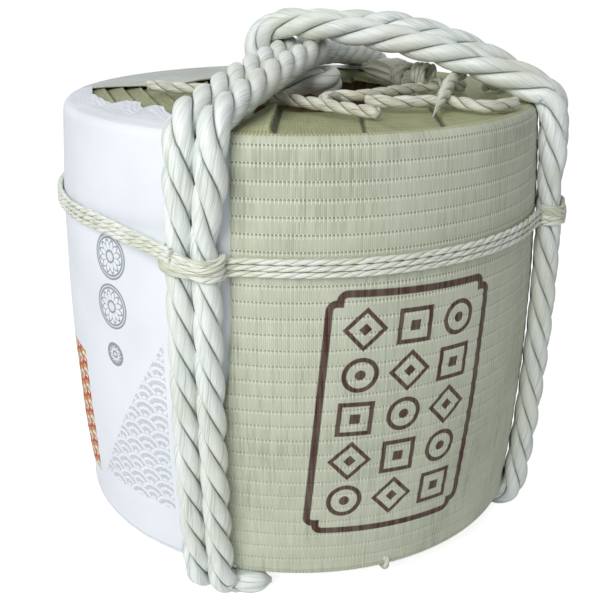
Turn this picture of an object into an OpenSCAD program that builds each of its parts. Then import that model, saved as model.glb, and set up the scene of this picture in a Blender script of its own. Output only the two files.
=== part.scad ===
// Straw-wrapped sake cask of 72 litres: a cedar cask bound with bamboo hoops,
// padded with straw, wrapped in a rush mat and a printed cloth face, and slung
// in a thick doubled rope. Millimetres, +Z up. The origin is on the cask's axis
// at the floor, -Y is the printed front, and angles are counted from there
// towards +X.

/* [Cask] */
// Height of the staves
cask_h = 504; // [470:1:540]
// Outer radius of the cask at its mouth
mouth_r = 270; // [255:1:276]
// Outer radius of the cask at its foot
foot_r = 260; // [250:1:270]
// Thickness of the staves
stave_t = 19; // [15:1:23]
// Number of staves
stave_count = 18; // [14:1:19]
// Gap between neighbouring staves
stave_gap = 0.2; // [0.1:0.05:0.4]
// Thickness of the head and of the base
board_t = 22; // [18:1:26]
// Depth of the head below the mouth
head_drop = 45; // [36:1:60]
// Height of the base above the lower ends of the staves
base_rise = 34; // [28:1:45]
// Depth of the grooves that hold the head and the base
croze_d = 6; // [4:0.5:8]
// Number of boards in the head and in the base
board_count = 4; // [2:1:4]
// Diameter of the bamboo dowels between the boards
dowel_d = 8; // [6:0.5:10]
// Length of a dowel
dowel_l = 60; // [40:1:80]

/* [Bung] */
// Diameter of the bung's shank
bung_d = 32; // [26:1:40]
// Diameter of the bung's head
bung_head_d = 44; // [42:1:56]
// Height of the bung's head
bung_head_h = 18; // [12:1:24]
// Distance of the bung from the cask's axis, towards the front
bung_y = 100; // [98:1:106]

/* [Hoops] */
// Height of a bamboo hoop
hoop_h = 24; // [18:1:30]
// Thickness of a bamboo hoop
hoop_t = 9; // [6:0.5:11]
// Number of plaited rows across a hoop
hoop_rows = 3; // [2:1:4]

/* [Wrapping] */
// Thickness of the straw padding at the cask's mouth
pad_mouth = 13; // [10:0.5:20]
// Thickness of the straw padding at the cask's foot
pad_foot = 22; // [16:0.5:30]
// How far the mat bellies out at half height
belly = 12; // [6:1:18]
// Thickness of the rush mat
mat_t = 6; // [4:0.5:7]
// Thickness of the printed face
sheet_t = 5; // [3:0.5:6]
// Half of the angle that the printed face covers
sheet_half_az = 94.6; // [92:0.2:98]
// Gap between the upright edges of the mat and the printed face
edge_gap_az = 0.2; // [0.1:0.1:0.4]
// Thickness of the folds under the base
under_fold_t = 8; // [6:0.5:10]
// How far the folds under the base reach in
under_fold_w = 150; // [120:5:160]
// Height of the folds over the mouth
over_fold_h = 14; // [12:0.5:18]
// Radius at which the folds over the mouth end
over_fold_r = 152; // [145:1:160]
// Depth of the pleats in the folds over the mouth
pleat_h = 9; // [4:0.5:12]
// Number of pleats in each half of the top
pleat_count = 9; // [7:1:12]

/* [Sling rope] */
// Diameter of the thick rope
rope_d = 34; // [30:0.5:38]
// How far the two ropes lie apart under the base
rope_spread = 100; // [80:1:120]
// Height of the thick rope above the ridge, where the ropes cross
knot_rise = 49; // [46:1:60]
// Angle of the third pair, at the back
back_az = 184; // [180:1:188]

/* [Small ropes] */
// Diameter of the waist cords
cord_d = 6.6; // [5:0.2:7.4]
// Number of waist cords that lie on one another
waist_count = 3; // [3:1:3]
// Height of the middle waist cord above the floor
waist_z = 426; // [380:1:460]
// Diameter of the lacing rope
lace_d = 17; // [12:0.5:18]
// Thickness of the gathered end of the mat
tuft_d = 22; // [16:1:26]

/* [Hidden] */
// Clearance between pieces that lie against each other
seat = 0.3;
// Clearance between the strands of two ropes that cross
rope_gap = 0.5;
// Running clearance of the bung and of the dowels
fit_gap = 0.05;
// How much of the thick rope is flattened where it stands on the floor
flat = rope_d / 10;
rope_r = rope_d / 2;
lace_r = lace_d / 2;
// Height of the thick rope's middle where it runs under the base
run_z = rope_r - flat;
// Lower edge of the wrapping, just over the rope that runs under it
wrap_z = run_z + rope_r + seat;
// Radius of the mat at the top ridge and at its lower edge
rim_r = mouth_r + hoop_t + pad_mouth + mat_t + 3 * seat;
base_r = foot_r + hoop_t + pad_foot + mat_t + 3 * seat;
cask_z = wrap_z + under_fold_t + seat;
mouth_z = cask_z + cask_h;
ridge_z = mouth_z + over_fold_h;
head_z = mouth_z - head_drop - board_t;
base_z = cask_z + base_rise;
bung_r = bung_d / 2;
// Angles of the pairs of thick rope at the two sides of the face
side_az = 90;
// Height of the loops' middle where they cross over the mouth
cross_z = ridge_z + knot_rise;
// Rounding of the mat at its ridge and at its lower edge
ridge_round = 12;
edge_round = 8;
pair_y = rope_r + rope_gap / 2;
// How steeply the loops and the back pair rise from the ridge to the crossing, as
// powers, and how much higher the back pair's far rope rides than its near one
loop_arch = 1.5;
back_arch = 2.4;
back_tilt = rope_d / 6;
// Radius of the back pair's hook round a loop, whose bends have a ring every 30 degrees
hook_r = (rope_d + rope_gap) / cos(15);
flap_t = 4;
hoop_at = [0.06, 0.17, 0.33, 0.5, 0.67, 0.84, 0.94];
HOOP_NAMES = ["hoop_foot", "hoop_low", "hoop_lower_waist", "hoop_waist",
    "hoop_upper_waist", "hoop_neck", "hoop_mouth"];
WAIST_NAMES = ["waist_cord_lower", "waist_cord_middle", "waist_cord_upper"];
STAVES = [for (i = [1 : stave_count]) str("stave_", i < 10 ? "0" : "", i)];
HEAD_BOARDS = [for (i = [1 : board_count]) str("head_board_", i)];
BASE_BOARDS = [for (i = [1 : board_count]) str("base_board_", i)];

// Radius of the cask's outside at height z
function cask_r(z) = foot_r + (mouth_r - foot_r) * (z - cask_z) / cask_h;
// Radius of the cask's inside at height z
function inner_r(z) = cask_r(z) - stave_t;
// Radius of the mat's outside at height z: a cone with a parabolic belly
function mat_r(z) = let (t = (z - wrap_z) / (ridge_z - wrap_z))
    base_r + (rim_r - base_r) * t + 4 * belly * t * (1 - t);
// Point at angle az from the front, radius r and height z
function polar(az, r, z) = [r * sin(az), -r * cos(az), z];

// Point k of n on the curve that passes through four points, near the middle two
function spline(a, b, c, d, t) = 0.5 * (2 * b + (c - a) * t
    + (2 * a - 5 * b + 4 * c - d) * t * t + (3 * b - a - 3 * c + d) * t * t * t);
// A smooth open curve through all points of p, with k steps between two points
function smooth(p, k) = let (n = len(p)) concat([for (i = [0 : n - 2], j = [0 : k - 1])
    spline(p[max(i - 1, 0)], p[i], p[i + 1], p[min(i + 2, n - 1)], j / k)], [p[n - 1]]);
function unit(v) = v / norm(v);
// Direction of the curve p at its point i
function along(p, i, closed) = let (n = len(p))
    unit(p[closed ? (i + 1) % n : min(i + 1, n - 1)] - p[closed ? (i + n - 1) % n : max(i - 1, 0)]);
// The side direction carried along the curve, turned as little as it can be
function carry(p, i, u) = let (t = along(p, i, false), w = unit(u - (u * t) * t))
    i == len(p) - 1 ? [w] : concat([w], carry(p, i + 1, w));

// A rope of radius r along the points p. With a side direction given it keeps to
// it all along, otherwise it is carried. Nothing reaches below the floor.
module rope(p, r, sides = 10, closed = false, side = undef) {
    n = len(p);
    first = abs(along(p, 0, closed)[2]) < 0.8 ? [0, 0, 1] : [1, 0, 0];
    carried = is_undef(side) ? carry(p, 0, first) : [];
    rings = [for (i = [0 : n - 1]) let (t = along(p, i, closed),
        u = is_undef(side) ? carried[i] : unit(side - (side * t) * t), v = cross(t, u))
        for (k = [0 : sides - 1]) let (a = 360 * k / sides,
            q = p[i] + r * (cos(a) * u + sin(a) * v)) [q[0], q[1], max(q[2], 0)]];
    strips = [for (i = [0 : closed ? n - 1 : n - 2], k = [0 : sides - 1])
        let (a = i * sides, b = (i + 1) % n * sides, m = (k + 1) % sides)
        each [[a + k, b + k, b + m], [a + k, b + m, a + m]]];
    ends = closed ? [] : [[for (k = [0 : sides - 1]) k],
        [for (k = [0 : sides - 1]) n * sides - 1 - k]];
    polyhedron(points = rings, faces = concat([for (f = strips) [f[0], f[2], f[1]]],
        [for (f = ends) [for (k = [len(f) - 1 : -1 : 0]) f[k]]]), convexity = 8);
}

// One stave: a wedge of the tapered wall with its two grooves
module stave(i) {
    pitch = 360 / stave_count;
    edge = stave_gap / 2 / foot_r * 180 / PI;
    groove_in = croze_d + 1;
    color("#c79a62") rotate([0, 0, pitch * i + edge]) rotate_extrude(angle = pitch - 2 * edge, $fn = 96)
        difference() {
            polygon([[cask_r(cask_z), cask_z], [cask_r(mouth_z), mouth_z],
                [inner_r(mouth_z) + 4, mouth_z], [inner_r(mouth_z) - 0.2, mouth_z - 14],
                [inner_r(cask_z), cask_z]]);
            for (z = [head_z, base_z]) translate([inner_r(z) - 1, z - seat])
                square([groove_in, board_t + 2 * seat]);
        }
}

// The round disc that a head or base is cut from, with its lower face at z
module disc(z) {
    r = inner_r(z) + croze_d - seat;
    translate([0, 0, z]) cylinder(r = r, h = board_t, $fn = 96);
}

// Places of the dowels: two across each joint between boards
function joint_y(z, i) = let (r = inner_r(z) + croze_d - seat) -r + i * 2 * r / board_count;
module dowel_row(z, d, l) {
    for (i = [1 : board_count - 1], x = [-0.43, 0.43] * inner_r(z))
        translate([x, joint_y(z, i) - l / 2, z + board_t / 2]) rotate([-90, 0, 0])
            cylinder(d = d, h = l, $fn = 24);
}

// One board of a head or base, between two joints, with its dowel holes
module board(z, i) {
    r = inner_r(z) + croze_d;
    low = i == 0 ? -r - 1 : joint_y(z, i) + 0.1;
    high = i == board_count - 1 ? r + 1 : joint_y(z, i + 1) - 0.1;
    color("#d2a870") difference() {
        intersection() {
            disc(z);
            translate([-r - 1, low, z - 1]) cube([2 * r + 2, high - low, board_t + 2]);
        }
        dowel_row(z, dowel_d + 2 * fit_gap, dowel_l + 2);
        if (z == head_z) translate([0, -bung_y, z - 1])
            cylinder(r = bung_r + fit_gap, h = board_t + 2, $fn = 48);
    }
}

module head_dowels() { color("#d9c184") dowel_row(head_z, dowel_d, dowel_l); }
module base_dowels() { color("#d9c184") dowel_row(base_z, dowel_d, dowel_l); }

// Turned plug with a domed head that rests on the head boards
module bung() {
    top = head_z + board_t + seat;
    shank = board_t + 14;
    head_r = bung_head_d / 2;
    color("#b98a55") translate([0, -bung_y, top]) rotate_extrude($fn = 64)
        polygon(concat([[0, -shank], [bung_r - 3, -shank], [bung_r, -shank + 8], [bung_r, 0],
            [head_r - 1.5, 0], [head_r, 1.5], [head_r, bung_head_h - 6]],
            [for (a = [20 : 20 : 80]) [head_r - 6 + 6 * cos(a), bung_head_h - 6 + 6 * sin(a)]],
            [[0, bung_head_h]]));
}

// Plaited bamboo hoop, seated on the cask's taper
module hoop(i) {
    z = cask_z + hoop_at[i] * cask_h;
    steps = 5 * hoop_rows;
    color("#cfb873") rotate_extrude($fn = 96) polygon(concat(
        [for (k = [0 : steps]) let (h = hoop_h * (k / steps - 0.5))
            [cask_r(z + h) + seat + hoop_t * (0.55 + 0.45 * abs(sin(180 * hoop_rows * k / steps))),
            z + h]],
        [[cask_r(z + hoop_h / 2) + seat, z + hoop_h / 2],
        [cask_r(z - hoop_h / 2) + seat, z - hoop_h / 2]]));
}

// Outline of the wrapping between two depths under its outer face, turned about
// the axis from one angle over a span
module wrap_shell(outer, inner, low, high, from_az, span) {
    steps = 12;
    rotate([0, 0, from_az - 90]) rotate_extrude(angle = span, $fn = 96) polygon(concat(
        [for (k = [0 : steps]) let (z = low + (high - low) * k / steps) [mat_r(z) - outer, z]],
        [for (k = [steps : -1 : 0]) let (z = low + (high - low) * k / steps) [mat_r(z) - inner, z]]));
}

// Straw padding that fills the space between the hoops and the wrapping
module straw_lining() {
    steps = 12;
    function lining_z(k) = cask_z + cask_h * k / steps;
    color("#bfa763") rotate_extrude($fn = 96) polygon(concat(
        [for (k = [0 : steps]) [mat_r(lining_z(k)) - mat_t - seat, lining_z(k)]],
        [[cask_r(mouth_z) + hoop_t + 2 * seat, mouth_z],
        [cask_r(cask_z) + hoop_t + 2 * seat, cask_z]]));
}

// Rush mat round the back half
module rush_mat() {
    color("#c4c8ac") wrap_shell(0, mat_t, wrap_z + edge_round, ridge_z - ridge_round,
        sheet_half_az + edge_gap_az, 360 - 2 * (sheet_half_az + edge_gap_az));
}

// Printed cloth face round the front half, a little under the mat's surface
module printed_face() {
    color("#eef3fb") wrap_shell(mat_t - sheet_t, mat_t, wrap_z + edge_round,
        ridge_z - ridge_round, -sheet_half_az, 2 * sheet_half_az);
}

// Cloth folded over the mouth, from the ridge inwards: a sheet of one thickness
// whose pleats lean over like the blades of a fan. Each pleat rises slowly and
// drops steeply, and it flattens out towards the ridge.
module top_fold(from_az, span, lean) {
    steps = 4 * pleat_count;
    radii = 5;
    top_z = ridge_z - ridge_round;
    // The turn over the ridge, then the flat of the fold down to its inner edge
    turn = [for (a = [0 : 30 : 90]) [rim_r - ridge_round + ridge_round * cos(a),
        top_z + ridge_round * sin(a)]];
    reach = rim_r - ridge_round - over_fold_r;
    function rise(i, s) = let (w = i * pleat_count / steps + lean * s, f = w - floor(w))
        pleat_h * s * (f < 0.75 ? f / 0.75 : (1 - f) / 0.25);
    function ring(i) = let (az = from_az + span * i / steps) concat(
        [for (q = turn) polar(az, q[0], q[1])],
        [for (j = [1 : radii]) let (s = j / radii)
            polar(az, rim_r - ridge_round - reach * s, ridge_z - pleat_h * s + rise(i, s))],
        [for (j = [radii : -1 : 1]) let (s = j / radii)
            polar(az, rim_r - ridge_round - reach * s, ridge_z - pleat_h * s + rise(i, s) - flap_t)],
        [for (q = [turn[3], turn[2], turn[1], turn[0]]) polar(az, q[0] - flap_t * (q[0] - rim_r
            + ridge_round) / ridge_round, q[1] - flap_t * (q[1] - top_z) / ridge_round)]);
    m = 2 * (len(turn) + radii);
    pts = [for (i = [0 : steps]) each ring(i)];
    polyhedron(points = pts, faces = concat(
        [for (i = [0 : steps - 1], k = [0 : m - 1]) let (a = i * m, b = a + m, q = (k + 1) % m)
            each [[a + k, b + q, b + k], [a + k, a + q, b + q]]],
        [[for (k = [m - 1 : -1 : 0]) k], [for (k = [0 : m - 1]) steps * m + k]]), convexity = 12);
}

module mat_top_fold() {
    color("#a7a878") top_fold(sheet_half_az + edge_gap_az,
        360 - 2 * (sheet_half_az + edge_gap_az), 0.6);
}

module face_top_fold() {
    color("#e8ecf0") top_fold(-sheet_half_az, 2 * sheet_half_az, -1.2);
}

// Wrapping folded flat under the base, from the lower edge inwards
module under_fold(from_az, span) {
    inner = base_r - under_fold_w;
    color("#aab090") rotate([0, 0, from_az - 90]) rotate_extrude(angle = span, $fn = 96)
        polygon(concat([[inner, wrap_z], [inner, wrap_z + under_fold_t]],
            [[base_r - mat_t, wrap_z + under_fold_t]],
            [[base_r, wrap_z + edge_round - seat]],
            [for (a = [-30 : -30 : -90]) [base_r - edge_round + edge_round * cos(a),
                wrap_z + edge_round - seat + (edge_round - seat) * sin(a)]]));
}

module mat_under_fold() {
    under_fold(sheet_half_az + edge_gap_az, 360 - 2 * (sheet_half_az + edge_gap_az));
}

module face_under_fold() { under_fold(-sheet_half_az, 2 * sheet_half_az); }

// Route of one loop of the sling, all round the cask across its width. side is -1
// for the loop nearer the front and 1 for the one behind it.
function loop_half(side) = let (off = rope_r + seat, cx = base_r - edge_round,
        edge_r = edge_round + off, top_x = rim_r - ridge_round, top_r = (ridge_round + off) / cos(10))
    concat(
        [for (x = [0, 60, 120, 180, 240]) [x, side * (pair_y + (rope_spread - pair_y)
            * (1 - pow(x / cx, 2))), run_z]],
        [for (a = [-90 : 22.5 : -1]) [cx + edge_r * cos(a), side * pair_y, wrap_z + edge_round
            + edge_r * sin(a)]],
        [for (z = [wrap_z + 20 : (ridge_z - wrap_z - 40) / 6 : ridge_z - 19])
            [mat_r(z) + off, side * pair_y, z]],
        [for (a = [0 : 20 : 81]) [top_x + top_r * cos(a), side * pair_y,
            ridge_z - ridge_round + top_r * sin(a)]],
        [for (s = [0.2 : 0.2 : 0.81]) let (e = 1 - pow(1 - s, loop_arch)) [top_x * (1 - s),
            side * pair_y, ridge_z + off + (cross_z - ridge_z - off) * e]]);
function loop_route(side) = let (half = loop_half(side), n = len(half)) concat(half,
    [[0, side * pair_y, cross_z]],
    [for (i = [n - 1 : -1 : 1]) [-half[i][0], half[i][1], half[i][2]]]);

module sling_loop_front() {
    color("#cdd6cd") rope(loop_route(-1), rope_r, closed = true, side = [0, 1, 0]);
}

module sling_loop_back() {
    color("#cdd6cd") rope(loop_route(1), rope_r, closed = true, side = [0, 1, 0]);
}

// Route of one leg of the pair at the back: from its end beside the loop under
// the base, up the mat, over both loops where they cross, down in front of them
// and back underneath. side is -1 or 1.
function leg_route(side) = let (off = rope_r + 2 * seat, hook = hook_r,
        cx = base_r - edge_round, edge_r = edge_round + off, top_x = rim_r - ridge_round,
        top_r = (ridge_round + off) / cos(10), turn = back_az - 180,
        in_back = function (p) [side * pair_y * cos(turn) - p[0] * sin(turn),
            p[0] * cos(turn) + side * pair_y * sin(turn), p[1]])
    concat(
        [for (y = [rope_spread + rope_d + 2 * rope_gap, 200, 250]) in_back([y, run_z])],
        [for (a = [-90 : 22.5 : -1]) in_back([cx + edge_r / cos(11.25) * cos(a),
            max(run_z, wrap_z + edge_round + edge_r / cos(11.25) * sin(a))])],
        [for (z = [wrap_z + 20 : (ridge_z - wrap_z - 40) / 6 : ridge_z - 19]) in_back([mat_r(z) + off, z])],
        [for (a = [0 : 20 : 61]) in_back([top_x + top_r * cos(a), ridge_z - ridge_round + top_r * sin(a)])],
        [for (s = [0.2 : 0.2 : 0.61]) let (e = 1 - pow(1 - s, back_arch)) in_back([top_x * (1 - s),
            ridge_z + off + (cross_z + hook - ridge_z - off) * e - side * back_tilt * sin(180 * s)])],
        [[side * pair_y, 2 * rope_r, cross_z + hook]],
        [for (a = [90 : 30 : 270]) [side * pair_y, -pair_y + hook * cos(a), cross_z + hook * sin(a)]],
        [[side * pair_y, pair_y + 4, cross_z - hook]]);
// Both legs, joined by a half turn at the end of the hook
function back_route() = let (left = leg_route(-1), right = leg_route(1), n = len(right),
        end_y = pair_y + 4, hook = hook_r)
    concat(left, [for (a = [30 : 30 : 150]) [-pair_y * cos(a), end_y + pair_y * sin(a), cross_z - hook]],
        [for (i = [n - 1 : -1 : 0]) right[i]]);

module sling_back_pair() {
    color("#cdd6cd") rope(back_route(), rope_r);
}

// Bound end of the sling rope, which lies on the floor beside the left foot
module sling_tail() {
    foot_x = base_r - edge_round - 8;
    start_y = pair_y + rope_r + 14.5;
    color("#cdd6cd") rope(smooth([[foot_x, start_y, run_z], [foot_x - 1, start_y + 0.3 * rope_d, run_z],
        [foot_x - 3, start_y + 0.6 * rope_d, run_z], [foot_x - 6, start_y + 0.9 * rope_d, run_z]], 2), rope_r);
}

// A direction in plan, at an angle from the front
function heading(az) = [sin(az), -cos(az)];

// Plan of a cord that crosses a pair of thick ropes at the angle at, wide out from
// the axis. It goes round the middle of the first rope from the heading low to the
// pair's own, and round the second one's from there to the heading high. Both are
// counted from the pair, and dive is where a cord turns back in to the mat.
ring_step = 9;
arc_step = 23;
dive = 115;
function over_pair(at, wide, low, high) = let (half = pair_y / wide * 180 / PI,
        reach = (rope_r + cord_d / 2 + rope_gap) / cos(arc_step / 2),
        n_low = ceil(low / arc_step), n_high = ceil(high / arc_step))
    concat([for (k = [n_low : -1 : 0]) wide * heading(at - half) + reach * heading(at - half - low * k / n_low)],
        [for (k = [0 : n_high]) wide * heading(at + half) + reach * heading(at + half + high * k / n_high)]);

// Plan of a waist cord at height z. Over the printed face it is pulled straight
// from the ropes at both sides until it meets the face, and behind them it dives
// to the mat at once.
function waist_plan(z) = let (wide = mat_r(z) + seat + rope_r, half = pair_y / wide * 180 / PI,
        lie_r = mat_r(z) + cord_d / 2 + seat, ring_r = lie_r / cos(ring_step / 2),
        reach = rope_r + cord_d / 2 + rope_gap, pull = acos((lie_r - reach) / wide),
        meet = side_az - half - pull, clear = 10,
        flank = function (low, high) let (n = ceil((high - low) / ring_step))
            [for (k = [0 : n]) ring_r * heading(low + (high - low) * k / n)],
        quarter = concat([for (k = [0 : 7]) ring_r * heading(meet * k / 7)],
            over_pair(side_az, wide, pull, dive)),
        mirrored = [for (k = [len(quarter) - 1 : -1 : 1]) [-quarter[k][0], quarter[k][1]]])
    concat(quarter, flank(side_az + clear, back_az - clear), over_pair(back_az, wide, dive, dive),
        flank(back_az + clear, 360 - side_az - clear), mirrored);

function waist_route(i) = let (z = waist_z + (i - (waist_count - 1) / 2) * (cord_d + seat))
    [for (q = waist_plan(z)) [q[0], q[1], z]];

module waist_cord(i) {
    color("#d3d8c6") rope(waist_route(i), cord_d / 2, sides = 8, closed = true, side = [0, 0, 1]);
}

// Cord wound twice over a pair of thick ropes below the waist cords, with its
// ends tucked against the mat. The two turns slope against each other.
module binding(at) {
    top = waist_z - (waist_count / 2 + 1) * (cord_d + seat);
    color("#d3d8c6") for (turn = [0, 1]) {
        z = top - turn * (cord_d + 2);
        plan = over_pair(at, mat_r(z) + seat + rope_r, dive, dive);
        last = len(plan) - 1;
        rope([for (k = [0 : last]) [plan[k][0], plan[k][1], z + (k / last - 0.5) * (turn == 0 ? 1 : -1)]],
            cord_d / 2, sides = 8, side = [0, 0, 1]);
    }
}

// Lacing ropes that draw the folds together over the mouth
lace_z = ridge_z + lace_r + seat;

// A lacing rope along places in plan, each in shares of the ridge's radius, with
// its middle sunk by an amount into the folds
module lacing(places, sink) {
    color("#dcdccf") rope(smooth([for (q = places) [q[0] * rim_r, q[1] * rim_r, lace_z - sink]], 3),
        lace_r, sides = 8);
}

module lacing_cut_end() {
    lacing([[0.22, -0.62], [0.25, -0.46], [0.26, -0.26], [0.32, -0.1], [0.41, 0.14], [0.49, 0.32],
        [0.57, 0.5]], 1.4);
}

module lacing_cross() {
    lacing([[0.35, 0.21], [0.24, 0.235], [0.21, 0.31], [0.13, 0.37], [-0.1, 0.5], [-0.235, 0.67]], 1.2);
}

module lacing_far() { lacing([[0.32, 0.375], [0.33, 0.5], [0.24, 0.67], [0.31, 0.84]], 0.1); }

module lacing_rim() { lacing([[-0.215, 0.75], [-0.3, 0.8], [-0.415, 0.815]], 0); }

// Lacing under the base, in zigzag across the folds in front of the sling
module under_lacing() {
    z = wrap_z - lace_r - seat;
    places = [[-0.77, -0.5], [-0.57, -0.69], [-0.4, -0.535], [-0.2, -0.88], [0, -0.57],
        [0.2, -0.88], [0.4, -0.535], [0.57, -0.69], [0.77, -0.5]];
    color("#dcdccf") rope(smooth([for (q = places) [q[0] * base_r, q[1] * base_r, z]], 3), lace_r,
        sides = 8);
}

// Gathered end of the mat, bound and laid on the folds between the sling's ropes:
// broad and flat at its free end, narrow where it is bound
module mat_tuft() {
    r = tuft_d / 2;
    z = ridge_z - 1.9 + r;
    free = [-0.49, 0.187] * rim_r;
    bound = [-0.26, 0.428] * rim_r;
    color("#c3c5aa") hull() {
        for (side = [-1, 1]) translate([free[0] + r * side, free[1] + r * side, z]) sphere(r = r, $fn = 16);
        translate([(free[0] + bound[0]) / 2, (free[1] + bound[1]) / 2, z + r / 3])
            sphere(r = 4 / 3 * r, $fn = 16);
        translate([bound[0], bound[1], z]) sphere(r = r, $fn = 16);
    }
}

bung();
head_dowels();
base_dowels();
for (i = [0 : stave_count - 1]) stave(i);
for (i = [0 : board_count - 1]) board(head_z, i);
for (i = [0 : board_count - 1]) board(base_z, i);
for (i = [0 : len(HOOP_NAMES) - 1]) hoop(i);
straw_lining();
rush_mat();
printed_face();
mat_top_fold();
face_top_fold();
mat_under_fold();
face_under_fold();
sling_loop_front();
sling_loop_back();
sling_back_pair();
sling_tail();
for (i = [0 : waist_count - 1]) waist_cord(i);
binding(side_az);  // binding_left
binding(-side_az);  // binding_right
binding(back_az);  // binding_back
lacing_cut_end();
lacing_cross();
lacing_far();
lacing_rim();
under_lacing();
mat_tuft();
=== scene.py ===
"""A straw-wrapped sake cask: its mat, printed face, ropes, cords and lacing, with studio and camera."""
import logging
import math
from dataclasses import dataclass
from enum import Enum

import bpy
import numpy as np
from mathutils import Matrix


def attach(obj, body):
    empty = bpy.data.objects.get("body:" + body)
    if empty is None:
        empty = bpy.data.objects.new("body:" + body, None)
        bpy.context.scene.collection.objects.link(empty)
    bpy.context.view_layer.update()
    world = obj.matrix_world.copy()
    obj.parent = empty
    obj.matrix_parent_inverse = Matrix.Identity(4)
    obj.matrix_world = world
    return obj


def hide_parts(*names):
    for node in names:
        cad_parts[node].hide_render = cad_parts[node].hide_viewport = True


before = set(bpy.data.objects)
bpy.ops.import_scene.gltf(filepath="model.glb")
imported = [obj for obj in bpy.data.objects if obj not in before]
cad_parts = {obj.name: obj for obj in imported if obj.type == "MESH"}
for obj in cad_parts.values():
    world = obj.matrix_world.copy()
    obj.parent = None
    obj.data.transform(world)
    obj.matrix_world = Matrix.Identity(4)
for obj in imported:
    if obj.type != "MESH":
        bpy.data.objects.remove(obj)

LOG = logging.getLogger("cask")
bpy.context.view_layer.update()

MM = 0.001
WRAP_Z, RIDGE_Z = 30.9, 557.2
BASE_R, RIM_R, BELLY = 297.9, 298.9, 12.0
RIDGE_ROUND, EDGE_ROUND = 12.0, 8.0
OVER_FOLD_R = 152.0
ROPE_R, SEAT, CROSS_Z = 17.0, 0.3, 606.2
PAIR_Y, ROPE_SPREAD, HOOK = 17.25, 100.0, 34.5
BACK_ARCH, BACK_TILT = 2.4, 5.67
SIDE_AZ, BACK_AZ = 90.0, 184.0
SHEET_AZ, MAT_AZ, MAT_SLANT, HEM_AZ = 94.6, 94.8, 3.2, 14.0
CORD_D, WAIST_Z = 6.6, 426.0
LACE_R = 8.5
BAND = 18.24
UV_RADIUS = 0.305
BODY = "wrapped_cask"


def hex_colour(code: str) -> tuple[float, float, float, float]:
    """Turns an sRGB hex colour into the linear colour that a shader takes.

    Args:
        code: six hex digits after a #.

    Returns:
        Linear red, green, blue and an alpha of 1.
    """
    srgb = np.array([int(code[i:i + 2], 16) / 255 for i in (1, 3, 5)])
    linear = np.where(srgb <= 0.04045, srgb / 12.92, ((srgb + 0.055) / 1.055) ** 2.4)
    return (*(float(x) for x in linear), 1.0)


def put(tree: bpy.types.NodeTree, kind: str, *links: object, **settings: object) -> bpy.types.Node:
    """Adds one shader node, sets it up and links it.

    Args:
        tree: the node tree.
        kind: the node's type after ShaderNode, with its operation after a colon if it has one.
        links: the first inputs in order: a node for its first output, a socket, a value, or None.
        settings: the node's own settings, its inputs by name, or stops for a colour ramp.

    Returns:
        The new node.
    """
    name, _, operation = kind.partition(":")
    node = tree.nodes.new("ShaderNode" + name)
    if operation:
        node.operation = operation
    for position, (colour, place) in enumerate(settings.pop("stops", ())):
        row = node.color_ramp.elements
        stop = row[position] if position < 2 else row.new(place)
        stop.position, stop.color = place, hex_colour(colour)
    named = [(key, value) for key, value in settings.items() if key in node.inputs]
    for key, value in settings.items():
        if key not in node.inputs:
            setattr(node, key, value)
    for key, value in [*enumerate(links), *named]:
        if value is None:
            continue
        if isinstance(value, bpy.types.Node):
            value = value.outputs[0]
        if isinstance(value, bpy.types.NodeSocket):
            tree.links.new(value, node.inputs[key])
        else:
            node.inputs[key].default_value = hex_colour(value) if isinstance(value, str) else value
    return node


def distance(tree: bpy.types.NodeTree, x: bpy.types.Node, y: bpy.types.Node) -> bpy.types.Node:
    """Adds the nodes of the distance from 0 to the point x, y and returns the last one."""
    squares = [put(tree, "Math:MULTIPLY", way, way) for way in (x, y)]
    return put(tree, "Math:SQRT", put(tree, "Math:ADD", *squares))


def new_material(name: str) -> tuple[bpy.types.Material, bpy.types.NodeTree]:
    """Makes an empty node material of a name and returns it with its tree."""
    material = bpy.data.materials.new(name)
    material.use_nodes = True
    material.node_tree.nodes.clear()
    return material, material.node_tree


def close_material(tree: bpy.types.NodeTree, colour: object, height: object, depth: float,
                   roughness: object, **sockets: object) -> None:
    """Ends a material with a bump, the Principled shader and its output.

    Args:
        tree: the node tree.
        colour: the base colour, a node or a hex code.
        height: the node that gives the bump's height, or None.
        depth: the bump's depth in metres.
        roughness: a node or a value.
        sockets: other inputs of the shader, by name with _ for a space.
    """
    named = {key.replace("_", " "): value for key, value in sockets.items()}
    if height is not None:
        named["Normal"] = put(tree, "Bump", Strength=1.0, Distance=depth, Height=height)
    shader = put(tree, "BsdfPrincipled", **{"Base Color": colour, "Roughness": roughness}, **named)
    put(tree, "OutputMaterial", shader)


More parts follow.
